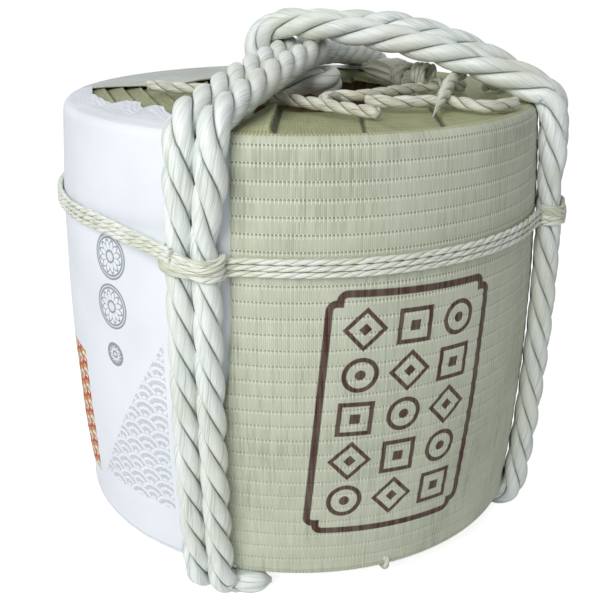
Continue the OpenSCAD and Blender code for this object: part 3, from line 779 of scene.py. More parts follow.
@dataclass
class Wrapping:
    """The mat round the back, the printed cloth round the front, and their folds."""

    relief: float = 0.9
    crest: float = 15.0
    slat: float = 24.5

    def wall(self, name: str, from_az: float, to_az: float, relief: float, step: float,
             sunk: float = 0.0) -> bpy.types.Object:
        """Makes an upright wrap: the belly's radius with a bulge between every two joint lines.

        Above the belly it goes on over the ridge's quarter round, nearly to its crest. The mat's
        first edge slants in under the ropes towards the foot, and the cloth dives under it.

        Args:
            name: the piece's name.
            from_az: where it starts, in degrees from the front.
            to_az: where it ends.
            relief: the bulge of a band, in millimetres.
            step: the spacing of the grid round the cask.
            sunk: how far its edge lies under the wrapping's surface, about a third of it in full.

        Returns:
            The piece.
        """
        top = RIDGE_Z - RIDGE_ROUND
        rows = int((top - WRAP_Z - EDGE_ROUND) / (BAND / 6)) + 1
        path = np.concatenate([np.linspace(WRAP_Z + EDGE_ROUND, top, rows),
                               top + np.linspace(0, self.crest, 7)[1:]])
        az = np.linspace(from_az, to_az, int((to_az - from_az) / 180 * np.pi * 305 / step) + 1)
        grid_s, grid_az = np.meshgrid(path, az, indexing="ij")
        foot = MAT_SLANT * ease(-grid_s, -380, -150)
        fold_r, fold_z = self.fold_profile(np.maximum(grid_s - top, 0))
        low = grid_s < top
        z = np.where(low, grid_s, fold_z)
        bulge = np.abs(np.sin(np.pi * grid_s / BAND)) ** 0.55 - 1.0
        fade = ease(grid_s, path[0], path[0] + 6) * ease(-grid_s, -path[-1], -path[-1] + 6)
        dents = ripple(grid_s.shape, int(from_az) % 97 + 5, (2, 3, 5)) * 0.9 - 0.9
        edge = MAT_AZ + 0.8 - foot * (grid_az > 0)
        deeper = sunk * (0.3 + 2.9 * ease(np.abs(grid_az), edge - 1.6, edge - 0.2))
        r = np.where(low, mat_r(grid_s), fold_r) + (relief * bulge + dents) * fade - deeper
        if not sunk:
            grid_az = grid_az - foot * ease(-grid_az, -from_az - 12, -from_az)
        piece = surface(name, polar(grid_az, r, z), wrap_uv(grid_az, grid_s))
        thicken(piece, 3.0 if relief > 0.5 else 1.2)
        return piece

    def fold_profile(self, path: np.ndarray) -> tuple[np.ndarray, np.ndarray]:
        """Radius and height along a fold that turns in over the ridge: a quarter round, then flat.

        Args:
            path: lengths along the fold from the top of the wall, in millimetres.

        Returns:
            The radii and the heights.
        """
        arc = RIDGE_ROUND * np.pi / 2
        a = np.clip(path / RIDGE_ROUND, 0, np.pi / 2)
        lead = float(mat_r(RIDGE_Z - RIDGE_ROUND)) - RIM_R
        r = RIM_R - RIDGE_ROUND + (RIDGE_ROUND + lead * np.cos(a)) * np.cos(a) - np.maximum(path - arc, 0)
        return r, RIDGE_Z - RIDGE_ROUND + RIDGE_ROUND * np.sin(a)

    def panels(self, across: np.ndarray, places: np.ndarray, heights: np.ndarray) -> tuple[
            np.ndarray, np.ndarray]:
        """Heights of overlapping panels, and the painted shade at the foot of each step.

        Args:
            across: distances at right angles to the seams, in millimetres.
            places: where the panels' profile is given.
            heights: its heights there.

        Returns:
            The heights, and painted shade from 0 to 1 where a higher part lies within 4 mm.
        """
        rise = np.interp(across, places, heights)
        beside = np.maximum(np.interp(across - 4, places, heights), np.interp(across + 4, places, heights))
        return rise, np.clip((beside - rise) / 4, 0, 1)

    def top_fold(self, name: str, from_az: float, to_az: float, depth: np.ndarray, drop: float,
                 seams: tuple[float, np.ndarray, np.ndarray], under: float = 0.0,
                 shear: float = 0.0) -> bpy.types.Object:
        """Makes a fold over the mouth in overlapping panels with straight seams.

        A point's place across the panels is r cos(az - a): its distance from the axis along the
        line square to the seams. The whole sinks a little towards the middle.

        Args:
            name: the piece's name.
            from_az: where it starts, in degrees from the front.
            to_az: where it ends.
            depth: how far in it reaches, in millimetres, in even shares round the cask.
            drop: how far the inner edge sinks.
            seams: the angle a of the line square to the seams, and the panels' places and heights.
            under: how far the whole piece lies under the ridge's surface.
            shear: how far the grid leans as it runs in, in degrees to a millimetre.

        Returns:
            The piece.
        """
        az = np.linspace(from_az, to_az, int((to_az - from_az) * 4) + 1)
        arc = RIDGE_ROUND * np.pi / 2
        start = self.crest - 1.5
        reach = np.interp(az, np.linspace(from_az, to_az, len(depth)), depth)
        grid_s, grid_az = np.meshgrid(np.linspace(0, 1, 62), az, indexing="ij")
        path = start + grid_s * (arc - start + reach[None, :])
        r, z = self.fold_profile(path)
        grid_az = grid_az + shear * np.maximum(path - arc, 0)
        inward = np.clip((path - arc) / (RIM_R - RIDGE_ROUND - OVER_FOLD_R), 0, 1)
        rise, foot = self.panels(r * np.cos(np.radians(grid_az - seams[0])), seams[1], seams[2])
        level = ease(path, arc - 2, arc + 12)
        z = z - drop * inward + (rise - under) * level
        z = z + 0.8 * ripple(z.shape, len(name), (3, 7, 12)) * ease(inward, 0.02, 0.2)
        uv = wrap_uv(grid_az, RIDGE_Z - RIDGE_ROUND + path)
        # The painted shade at the steps' feet goes to the finish through the valley attribute
        piece = surface(name, polar(grid_az, r, z), uv, foot * level)
        thicken(piece, 2.2)
        return piece

    def under_fold(self, name: str, from_az: float, to_az: float) -> bpy.types.Object:
        """Makes the fold under the base: flat from its inner edge, then a quarter round up.

        Args:
            name: the piece's name.
            from_az: where it starts, in degrees from the front.
            to_az: where it ends.

        Returns:
            The piece.
        """
        az = np.linspace(from_az, to_az, int(to_az - from_az) + 1)
        flat_r = np.linspace(BASE_R - 150, BASE_R - EDGE_ROUND, 24)
        a = np.radians(np.linspace(-90, 0, 9)[1:])
        lead = float(mat_r(WRAP_Z + EDGE_ROUND)) - BASE_R
        r = np.concatenate([flat_r, BASE_R - EDGE_ROUND + (EDGE_ROUND + lead * np.cos(a)) * np.cos(a)])
        z = np.concatenate([np.full(24, WRAP_Z), WRAP_Z + EDGE_ROUND + EDGE_ROUND * np.sin(a)])
        path = np.concatenate([[0], np.cumsum(np.hypot(np.diff(r), np.diff(z)))])
        grid_r, grid_az = np.meshgrid(r, az, indexing="ij")
        grid_z = np.broadcast_to(z[:, None], grid_r.shape).copy()
        inside = ease(-grid_r, -BASE_R + 10, -BASE_R + 60)
        creases = 1.2 * np.abs(ripple(grid_r.shape, 9, (9, 15, 22))) * inside
        uv = wrap_uv(grid_az, (WRAP_Z + EDGE_ROUND - path[-1] + path)[:, None])
        piece = surface(name, polar(grid_az, grid_r, grid_z + creases), uv)
        thicken(piece, 2.5)
        return piece

    def lay(self, piece: bpy.types.Object, material: bpy.types.Material, slot: str, node: str,
            flat: tuple[float, float], rests_on: object, area: float | None = None) -> bpy.types.Object:
        """Args:
            piece: the sheet.
            material: its finish.
            slot: a slot name; not used.
            node: the CAD node that it stands for, or an empty name.
            flat: the width and length of the cut, in metres; not used.
            rests_on: what it lies on; not used.
            area: the flat area of a cut that is folded over, in square metres; not used.

        Returns:
            The piece.
        """
        dress(piece, material, slot, *([node] if node else []))
        return piece

    def mouth_folds(self, wall: bpy.types.Object, face: bpy.types.Object) -> bpy.types.Object:
        """Makes the matting that is folded over the mouth, from the back and from under the face.

        Args:
            wall: the mat round the back; not used.
            face: the cloth round the front; not used.

        Returns:
            The front's fold, which the hems lie on.
        """
        # A darker copy of the mat: painted shade on the folds over the mouth; its bright dashes, with a row
        # along the ridge, are painted highlight
        shade = MatFinish("woven_rush_matting_fold_shaded", light="#b8bb93", middle="#a1a57c", dark="#82865f",
                          joint="#6b6e4a", dash_highlight="#dcdcb4", dash_share=0.45, edge_row=0.5605).make()
        full = RIM_R - RIDGE_ROUND - OVER_FOLD_R
        # The mat's panels: each lies over the one before it, and the first is a lifted flap
        places = np.array([-290, -206, -203, -112, -109, -75, -25, -21, 72, 75, 157, 160, 300.0])
        heights = np.array([0, -4, 0, -4, 0, -2, 8, -2, -4.5, 0, -4.5, 0, -2.0])
        self.lay(self.top_fold("mat_mouth_fold", MAT_AZ, 360 - MAT_AZ, np.array([full + 22.0, full]), 1.5,
                               (198.0, places, heights)), shade, "rush_mat", "mat_top_fold",
                 (0.89, 0.16), wall, 0.1)
        # The front's pleats: narrow and all alike
        first = 234.8 + self.slat * np.arange(-22, 4)
        slats = np.stack([first - self.slat + 2.5, first], axis=1).ravel()
        return self.lay(self.top_fold("mat_front_fold", -SHEET_AZ, SHEET_AZ, np.array([full, full + 14.0]),
                                      5.0, (36.9, slats, np.tile([4.5, 0.0], len(first))), under=5.2),
                        shade, "rush_mat", "face_top_fold", (0.99, 0.16), face, 0.12)

    def hems(self, front: bpy.types.Object, margin: bpy.types.Material) -> None:
        """Makes the cloth's two hems over the ridge, which meet at HEM_AZ.

        Args:
            front: the fold that they lie on; not used.
            margin: the finish of the near one, which shows its right side.
        """
        # Torn in scallops beside the ropes, with puffs between its stitches
        az = np.linspace(HEM_AZ, SHEET_AZ, 321)
        scallop = np.interp(az, [14, 17.5, 54, 55.5, 58, 64, 71, 72.5, 74, 79, 85, 86, 88, 95],
                            [8, 13, 42, 58, 74, 76, 60, 76, 86, 84, 62, 66, 70, 62])
        puffs = (250.0, np.array([-400, -250, -247, -195, -192, -120, -117, 0.0]), np.tile([0, 2.5], 4))
        self.lay(self.top_fold("cloth_hem", HEM_AZ, SHEET_AZ, scallop, 3.5, puffs, shear=-0.25), margin,
                 "printed_cloth", "", (0.41, 0.09), front, 0.022)
        lined = PrintFinish("lined_white_cloth", ground="#d3d8d3", shade="#b9c0b8").make(printed=False)
        az = np.linspace(-SHEET_AZ, HEM_AZ, 321)
        band = np.interp(az, [-95, -62, -45, -3, 5, 9, 14], [34, 30, 108, 112, 80, 44, 9])
        level = (0.0, np.array([-400.0, 400.0]), np.zeros(2))
        self.lay(self.top_fold("cloth_far_hem", -SHEET_AZ, HEM_AZ, band, 1.0, level, under=-0.9), lined,
                 "printed_cloth", "", (0.55, 0.12), front, 0.038)

    def build(self) -> None:
        """Makes and dresses the wrapping's pieces."""
        mat = MatFinish("woven_rush_matting", stamp=StampFrame()).make()
        margin = PrintFinish("plain_white_cloth").make(printed=False)
        back_end = 360 - MAT_AZ
        wall = self.lay(self.wall("mat_wall", MAT_AZ + 0.8, back_end, self.relief, 4.0), mat, "rush_mat",
                        "rush_mat", (0.91, 0.52), "straw_padding")
        face = self.lay(self.wall("printed_wall", -SHEET_AZ, SHEET_AZ + 2.5, 0.12, 6.0, 1.3),
                        PrintFinish("printed_white_cloth").make(), "printed_cloth", "printed_face",
                        (1.03, 0.52), "straw_padding")
        self.hems(self.mouth_folds(wall, face), margin)
        self.lay(self.under_fold("mat_base_fold", MAT_AZ, back_end), mat, "rush_mat", "mat_under_fold",
                 (0.89, 0.16), wall, 0.105)
        self.lay(self.under_fold("cloth_base_fold", -SHEET_AZ, SHEET_AZ), margin, "printed_cloth",
                 "face_under_fold", (0.99, 0.16), face, 0.115)


@dataclass
class Sling:
    """The thick rope: two closed loops over the sides, the pair at the back, and its bound tail."""

    step: float = 3.0

    def loop(self, side: int) -> np.ndarray:
        """The closed route of one loop, across the cask's width.

        Args:
            side: -1 for the loop nearer the front, 1 for the other.

        Returns:
            The points of the route.
        """
        off = ROPE_R + SEAT
        cx, top_x, top_r = BASE_R - EDGE_ROUND, RIM_R - RIDGE_ROUND, RIDGE_ROUND + off
        slim = float(pull_tight(0))
        edge_r = EDGE_ROUND + SEAT + ROPE_R * slim
        beside = PAIR_Y * (side * slim - 2 * (1 - slim))
        x = np.linspace(0, 260, 14)
        under = np.stack([x, beside + (side * ROPE_SPREAD - beside) * (1 - (x / cx) ** 2),
                          np.full(14, WRAP_Z + EDGE_ROUND - edge_r)], axis=1)
        a = np.radians(np.arange(-90, 0, 10))
        foot = np.stack([cx + edge_r * np.cos(a), np.full(9, beside),
                         WRAP_Z + EDGE_ROUND + edge_r * np.sin(a)], axis=1)
        z = np.linspace(WRAP_Z + 20, RIDGE_Z - 19, 32)
        tight = pull_tight(z)
        flank = np.stack([mat_r(z) + SEAT + ROPE_R * tight,
                          PAIR_Y * (side * tight - 2 * (1 - tight)), z], axis=1)
        b = np.radians(np.arange(0, 81, 10))
        shoulder = np.stack([top_x + top_r * np.cos(b), np.full(9, side * PAIR_Y),
                             RIDGE_Z - RIDGE_ROUND + top_r * np.sin(b)], axis=1)
        s = np.linspace(0.1, 0.9, 9)
        rise = np.stack([top_x * (1 - s), np.full(9, side * PAIR_Y),
                         RIDGE_Z + off + (CROSS_Z - RIDGE_Z - off) * (1 - (1 - s) ** 1.5)], axis=1)
        half = np.vstack([under, foot, flank, shoulder, rise])
        other = half[:0:-1] * np.array([-1, 1, 1])
        return np.vstack([half, [[0, side * PAIR_Y, CROSS_Z]], other])

    def back_leg(self, side: int) -> np.ndarray:
        """The route of one leg of the back pair, up the mat, over the loops and round them.

        Args:
            side: -1 or 1.

        Returns:
            The points of the route.
        """
        off = ROPE_R + 2 * SEAT
        cx, top_x, top_r = BASE_R - EDGE_ROUND, RIM_R - RIDGE_ROUND, RIDGE_ROUND + off
        edge_r = EDGE_ROUND + 2 * SEAT + ROPE_R * float(pull_tight(0))
        y = np.linspace(ROPE_SPREAD + 2 * ROPE_R + 1, 262, 6)
        a = np.radians(np.arange(-90, 0, 10))
        z = np.linspace(WRAP_Z + 20, RIDGE_Z - 19, 32)
        b = np.radians(np.arange(0, 61, 10))
        s = np.linspace(0.12, 0.62, 6)
        rise_z = (RIDGE_Z + off + (CROSS_Z + HOOK - RIDGE_Z - off) * (1 - (1 - s) ** BACK_ARCH)
                  - side * BACK_TILT * np.sin(np.pi * s))
        flat = np.vstack([
            np.stack([y, np.full(6, WRAP_Z + EDGE_ROUND - edge_r)], axis=1),
            np.stack([cx + edge_r * np.cos(a), WRAP_Z + EDGE_ROUND + edge_r * np.sin(a)], axis=1),
            np.stack([mat_r(z) + 2 * SEAT + ROPE_R * pull_tight(z), z], axis=1),
            np.stack([top_x + top_r * np.cos(b), RIDGE_Z - RIDGE_ROUND + top_r * np.sin(b)], axis=1),
            np.stack([top_x * (1 - s), rise_z], axis=1)])
        turn = math.radians(BACK_AZ - 180)
        beside = side * PAIR_Y * pull_tight(flat[:, 1])
        leg = np.stack([beside * math.cos(turn) - flat[:, 0] * math.sin(turn),
                        flat[:, 0] * math.cos(turn) + beside * math.sin(turn), flat[:, 1]], axis=1)
        h = np.radians(np.arange(90, 271, 20))
        hook = np.stack([np.full(len(h), side * PAIR_Y), -PAIR_Y + HOOK * np.cos(h),
                         CROSS_Z + HOOK * np.sin(h)], axis=1)
        return np.vstack([leg, [[side * PAIR_Y, 2 * ROPE_R, CROSS_Z + HOOK]], hook,
                          [[side * PAIR_Y, PAIR_Y + 4, CROSS_Z - HOOK]]])

    def back(self) -> np.ndarray:
        """The whole route of the back pair: two legs joined by a half turn."""
        a = np.radians(np.arange(30, 151, 20))
        bend = np.stack([-PAIR_Y * np.cos(a), PAIR_Y + 4 + PAIR_Y * np.sin(a),
                         np.full(len(a), CROSS_Z - HOOK)], axis=1)
        return np.vstack([self.back_leg(-1), bend, self.back_leg(1)[::-1]])

    def tail(self) -> bpy.types.Object:
        """Makes the bound end on the floor beside the left foot: a brush of fibre, drawn to a point.

        The brush is a tube whose radius falls to the end, with furrows along it.
        """
        points = np.array([[291, 22, 15.6], [290, 34, 15.6], [285, 48, 14.5], [277, 61, 12.5]])
        route = smooth_route(points, 1.5)
        normal, across = carried_frames(route, False)
        share = np.linspace(0, 1, len(route))
        angle = np.linspace(0, 2 * np.pi, 73)[:-1]
        size = 15.2 * (1 + 0.06 * np.sin(5 * share)) * np.sqrt(1 - 0.93 * ease(share, 0.45, 1.0) ** 2)
        furrow = 1 - 0.09 * np.abs(np.sin(3.5 * angle[None, :] + 3.2 * share[:, None]))
        furrow = furrow - 0.05 * np.abs(ripple((len(route), 72), 4, (13, 21, 34))) * share[:, None]
        wide = size[:, None] * furrow
        points_3d = route[:, None] + wide[..., None] * (np.cos(angle)[None, :, None] * normal[:, None]
                                                        + np.sin(angle)[None, :, None] * across[:, None])
        points_3d[..., 2] = np.maximum(points_3d[..., 2], 0.0)
        uv = np.stack(np.meshgrid(np.linspace(0, 0.1, 73), np.arange(len(route)) * 0.0015), axis=-1)
        # The furrows go to the finish, which paints shade in the deepest of them
        return surface("rope_tail", points_3d, uv, 0.6 + 2 * (1 - furrow), round_closed=True,
                       capped=True)

    def lashing(self) -> None:
        """Makes the thin cords that cross over the foot and hold the tail to it."""
        cord = Finish.CORD.value.make()
        # The places that each cord passes, in millimetres
        turns = (((299, 3, 34), (310, 8, 24), (311, 17, 13), (301, 27, 3)),
                 ((298, 7, 35), (309, 12, 25), (310, 21, 14), (300, 31, 4)),
                 ((294, 30, 31), (307, 24, 24), (312, 13, 13), (303, 3, 2)),
                 ((292, 34, 30), (305, 28, 22), (311, 17, 10), (302, 8, 1.6)))
        for k, turn in enumerate(turns):
            dress(laid_rope(f"tail_lashing_{k + 1}", np.array(turn, float), LASH_LAY, 1.2, turn=k), cord,
                  "waist_cord")

    def build(self) -> None:
        """Makes and dresses the sling's pieces."""
        finish = Finish.SLING.value.make()
        for name, side, node, turn in (("front_loop", -1, "sling_loop_front", 0.4),
                                       ("rear_loop", 1, "sling_loop_back", 1.5)):
            dress(laid_rope(name, self.loop(side), SLING_LAY, self.step, True, True, turn), finish,
                  "sling_rope", node)
        dress(laid_rope("back_pair", self.back(), SLING_LAY, self.step, False, True, 0.9), finish,
              "sling_rope", "sling_back_pair")
        dress(self.tail(), finish, "sling_rope", "sling_tail")
        self.lashing()


def heading(az: np.ndarray | float) -> np.ndarray:
    """Directions in plan at angles from the front, in degrees."""
    a = np.radians(np.asarray(az, float))
    return np.stack([np.sin(a), -np.cos(a)], axis=-1)


@dataclass
class WaistCords:
    """Three cords round the waist and the windings that draw the ropes to the mat."""

    dive: float = 115.0
    step: float = 1.6
    lift: float = 21.0

    def pair(self, at: float, z: float) -> tuple[float, float, float, float]:
        """Angles of a pair's two middles, their distance from the axis and the ropes' radius.

        Args:
            at: the pair's angle from the front.
            z: the height.
        """
        tight = float(pull_tight(z))
        wide = float(mat_r(z)) + SEAT + ROPE_R * tight
        towards_front = {SIDE_AZ: -1, 360 - SIDE_AZ: 1}.get(at, 0)
        middle = at + towards_front * math.degrees(2 * PAIR_Y * (1 - tight) / wide)
        half = math.degrees(PAIR_Y * tight / wide)
        return middle - half, middle + half, wide, ROPE_R * tight

    def over_pair(self, at: float, z: float, low: float, high: float, gap: float = SEAT) -> np.ndarray:
        """Plan of a cord round a pair of thick ropes: an arc about each rope's middle.

        Args:
            at: the pair's angle from the front.
            z: the height.
            low: the heading at which the cord meets the first rope, counted back from the pair's.
            high: the heading at which it leaves the second one.
            gap: the clearance between cord and rope.

        Returns:
            Points in plan.
        """
        near, far, wide, rope_r = self.pair(at, z)
        reach = rope_r + CORD_D / 2 + gap
        first = wide * heading(near) + reach * heading(np.linspace(near - low, near, 7))
        second = wide * heading(far) + reach * heading(np.linspace(far, far + high, 7))
        return np.vstack([first, second])

    def plan(self, z: float) -> np.ndarray:
        """The closed plan of a waist cord at a height.

        Over the printed face it is pulled straight from the ropes until it meets the face, and
        behind the ropes it dives to the mat at once.
        """
        near, _, wide, rope_r = self.pair(SIDE_AZ, z)
        lie = float(mat_r(z)) + CORD_D / 2 + SEAT
        pull = math.degrees(math.acos((lie - rope_r - CORD_D / 2 - SEAT) / wide))
        quarter = np.vstack([lie * heading(np.linspace(0, near - pull, 12)),
                             self.over_pair(SIDE_AZ, z, pull, self.dive)])
        flanks = [lie * heading(np.linspace(SIDE_AZ + 10, BACK_AZ - 10, 22)),
                  lie * heading(np.linspace(BACK_AZ + 10, 350 - SIDE_AZ, 22))]
        return np.vstack([quarter, flanks[0], self.over_pair(BACK_AZ, z, self.dive, self.dive),
                          flanks[1], quarter[:0:-1] * np.array([-1, 1])])

    def build(self) -> None:
        """Makes and dresses the cords and the windings."""
        finish, wound = Finish.CORD.value.make(), Finish.WINDING.value.make()
        for i, name in enumerate(("lower", "middle", "upper")):
            z = WAIST_Z + (i - 1) * (CORD_D + SEAT)
            plan = self.plan(z)
            az = np.degrees(np.arctan2(np.abs(plan[:, 0]), -plan[:, 1]))
            # Raised over the face, dipped where they cross the ropes, drawn together beside them
            rise = self.lift * ease(-az, -96, -80) - 3 - 4 * np.exp(-((az - 91) / 3.0) ** 2)
            close = 1 - 0.35 * np.exp(-((az - 82) / 6.0) ** 2)
            route = np.column_stack([plan, WAIST_Z + (z - WAIST_Z) * close + rise])
            dress(laid_rope("cord_" + name, route, CORD_LAY, self.step, True, turn=1.1 * i), finish,
                  "waist_cord", "waist_cord_" + name)
        for name, at in (("left", SIDE_AZ), ("right", 360 - SIDE_AZ), ("back", BACK_AZ)):
            self.winding(name, at, wound)

    def winding(self, name: str, at: float, finish: bpy.types.Material) -> None:
        """Makes the turns of cord that cross each other over a pair of thick ropes.

        Args:
            name: which pair.
            at: the pair's angle from the front.
            finish: the cord's material.
        """
        # Each turn's height at its start and its end, its sag, and its gap to the ropes
        rises = ((15.0, 8.0, 6.0, -0.6), (14.0, 2.0, 10.0, 0.6), (11.0, -2.0, 12.0, -0.2),
                 (8.0, -5.0, 11.0, 1.2), (2.0, 9.0, 8.0, 1.8), (-1.0, 5.0, 9.0, 1.4), (5.0, 7.0, 11.0, 2.2))
        for k, (start, end, sag, gap) in enumerate(rises):
            plan = self.over_pair(at, WAIST_Z, self.dive, self.dive, gap)
            share = np.linspace(0, 1, len(plan))
            if at > 180:
                share = share[::-1]
            z = WAIST_Z + 2 + start + (end - start) * share - sag * np.sin(np.pi * share)
            nodes = ("binding_" + name,) if k == 0 else ()
            dress(laid_rope(f"winding_{name}_{k + 1}", np.column_stack([plan, z]), WINDING_LAY, self.step,
                            turn=0.7 * k), finish, "waist_cord", *nodes)


@dataclass
class Lacing:
    """Straw ropes that draw the folds together over the mouth and under the base, and the tuft."""

    step: float = 2.2
    level: float = RIDGE_Z + LACE_R + SEAT

    def rope(self, name: str, places: list[tuple[float, float]], sink: float, turn: float,
             material: bpy.types.Material, *nodes: str) -> None:
        """Makes a lacing rope through places in plan, given in shares of the ridge's radius.

        Args:
            name: the piece's name.
            places: the places in plan.
            sink: how far it lies in the folds.
            turn: the turn of its strands at the start.
            material: its finish.
            nodes: the CAD nodes that it stands for.
        """
        plan = np.array(places) * RIM_R
        route = np.column_stack([plan, np.full(len(plan), self.level - sink)])
        dress(laid_rope(name, route, LACING_LAY, self.step, turn=turn, ragged=0.25), material,
              "lacing_rope", *nodes)

    def tuft(self, material: bpy.types.Material) -> None:
        """Makes the gathered end of the mat.

        Cross-sections run from the free end to the bound one: flat ellipses that narrow, with
        furrows along them whose depth grows towards the free end.
        """
        free = np.array([-0.6, 0.12]) * RIM_R
        bound = np.array([-0.26, 0.428]) * RIM_R
        share = np.linspace(0, 1, 60)
        angle = np.linspace(0, 2 * np.pi, 97)[:-1]
        axis = (bound - free) / np.linalg.norm(bound - free)
        side = np.array([-axis[1], axis[0]])
        half_w = 9 + 17 * ease(share, 0.0, 0.5) - 13 * ease(share, 0.55, 0.95)
        half_h = 5 + 10 * ease(share, 0.0, 0.6) - 3 * ease(share, 0.6, 0.95)
        cap = np.sqrt(np.clip(1 - (1 - np.minimum(share * 30, 1)) ** 2, 0.5, 1)) * np.sqrt(
            np.clip(1 - (1 - np.minimum((1 - share) * 9, 1)) ** 2, 0.1, 1))
        square = np.maximum(np.abs(np.cos(angle)), np.abs(np.sin(angle))) ** -0.55
        furrow = 1 - (0.07 + 0.05 * share)[:, None] * np.abs(
            np.sin(5 * angle[None, :] + 0.8 * np.sin(3 * share)[:, None]))
        middle = free[None, :] + (share * np.linalg.norm(bound - free))[:, None] * axis[None, :]
        w = (half_w * cap)[:, None] * furrow * (square * np.cos(angle))[None, :]
        h = (half_h * cap)[:, None] * furrow * (square * np.sin(angle))[None, :]
        points = np.empty((60, 96, 3))
        points[..., :2] = middle[:, None, :] + w[..., None] * side
        points[..., 2] = RIDGE_Z - 1 + 9 * (1 - share[:, None]) + half_h[:, None] + h
        uv = np.stack(np.meshgrid(np.linspace(0, 0.13, 97), share * 0.1), axis=-1)
        piece = surface("gathered_mat_end", points[:, ::-1], uv, (1 - furrow) * 5.0, round_closed=True,
                        capped=True)
        dress(piece, material, "rush_mat", "mat_tuft")

    def ring(self, name: str, middle: tuple[float, float, float], along: tuple[float, float],
             size: tuple[float, float], turns: float, spread: float, lay: Lay,
             material: bpy.types.Material) -> None:
        """Makes turns of cord round something that lies flat: a flattened screw line.

        Args:
            name: the piece's name.
            middle: the middle of the turns, in millimetres.
            along: the direction in plan of what they go round.
            size: half the width and half the height of a turn.
            turns: how many turns.
            spread: how far they run along it.
            lay: how the cord is laid.
            material: its finish.
        """
        a = np.linspace(0, 2 * np.pi * turns, int(turns * 16))[:, None]
        ahead = np.array([*along, 0.0]) / math.hypot(*along)
        side = np.array([-ahead[1], ahead[0], 0.0])
        run = (np.linspace(-0.5, 0.5, len(a)) * spread)[:, None]
        route = np.array(middle) + run * ahead + size[0] * np.cos(a) * side + size[1] * np.sin(a) * np.array(
            [0.0, 0.0, 1.0])
        dress(laid_rope(name, route, lay, 1.2), material, "lacing_rope")

    def build(self) -> None:
        """Makes and dresses the lacing."""
        straw = Finish.LACING.value.make()
        worn = Finish.TUFT.value.make()
        # A tie on the cut rope, the lash round the tuft's end, a knot behind it and a wrap on the far rope
        self.ring("lace_tie", (106, -3, self.level - 1.3), (0.36, 0.93), (9.2, 8.8), 1.6, 3.0, LASH_LAY,
                  straw)
        self.ring("tuft_lash", (-94, 116, RIDGE_Z + 14), (0.69, 0.72), (16.5, 14), 4.0, 26.0, LASH_ROPE,
                  straw)
        self.ring("lace_knot", (-40, 150, 581), (0.3, 0.95), (12, 11), 3.2, 21.0, LASH_ROPE, worn)
        self.ring("lace_wrap", (-48, 176, self.level - 1), (-0.62, 0.78), (10.5, 10), 3.2, 20.0, LASH_ROPE,
                  straw)
        pointed = smooth_route(np.array([(-62, 196, 580), (-10, 197, 583), (40, 199, 582), (90, 201, 572),
                                         (150, 203, 560.5)], float), self.step)
        dress(laid_rope("lace_pointed", pointed, LACING_LAY, self.step, turn=0.4, ragged=0.25, point=0.4),
              worn, "lacing_rope")
        self.rope("lace_cut_end", [(0.22, -0.62), (0.25, -0.46), (0.26, -0.26), (0.32, -0.1), (0.41, 0.14),
                                   (0.49, 0.32), (0.57, 0.5)], 1.4, 0.2, straw, "lacing_cut_end")
        self.rope("lace_cross", [(0.35, 0.21), (0.24, 0.235), (0.21, 0.31), (0.13, 0.37), (-0.1, 0.5),
                                 (-0.235, 0.67)], 1.2, 0.9, straw, "lacing_cross")
        self.rope("lace_far", [(0.32, 0.375), (0.33, 0.5), (0.24, 0.67), (0.31, 0.84), (0.18, 0.94)], 0.1,
                  0.5, straw, "lacing_far")
        self.rope("lace_rim", [(-0.215, 0.75), (-0.3, 0.8), (-0.415, 0.815)], 0.0, 0.1, straw,
                  "lacing_rim")
        under = np.array([(-0.77, -0.5), (-0.57, -0.69), (-0.4, -0.535), (-0.2, -0.88), (0, -0.57),
                          (0.2, -0.88), (0.4, -0.535), (0.57, -0.69), (0.77, -0.5)]) * BASE_R
        route = np.column_stack([under, np.full(len(under), WRAP_Z - LACE_R - SEAT)])
        dress(laid_rope("lace_under", route, LACING_LAY, self.step, ragged=0.25), straw, "lacing_rope",
              "under_lacing")
        # One bight of the lower lacing, which comes out round the wrapping's lower edge
        stitch = np.array([283, 290, 295.7, 299.9, 301.5, 298.5])[:, None] * heading(129.8)[None, :]
        heights = [27.3, 27.3, 28.9, 33.1, 38.9, 46.0]
        dress(laid_rope("lace_stitch", np.column_stack([stitch, heights]), LASH_ROPE, 1.2), straw,
              "lacing_rope")
        self.tuft(worn)


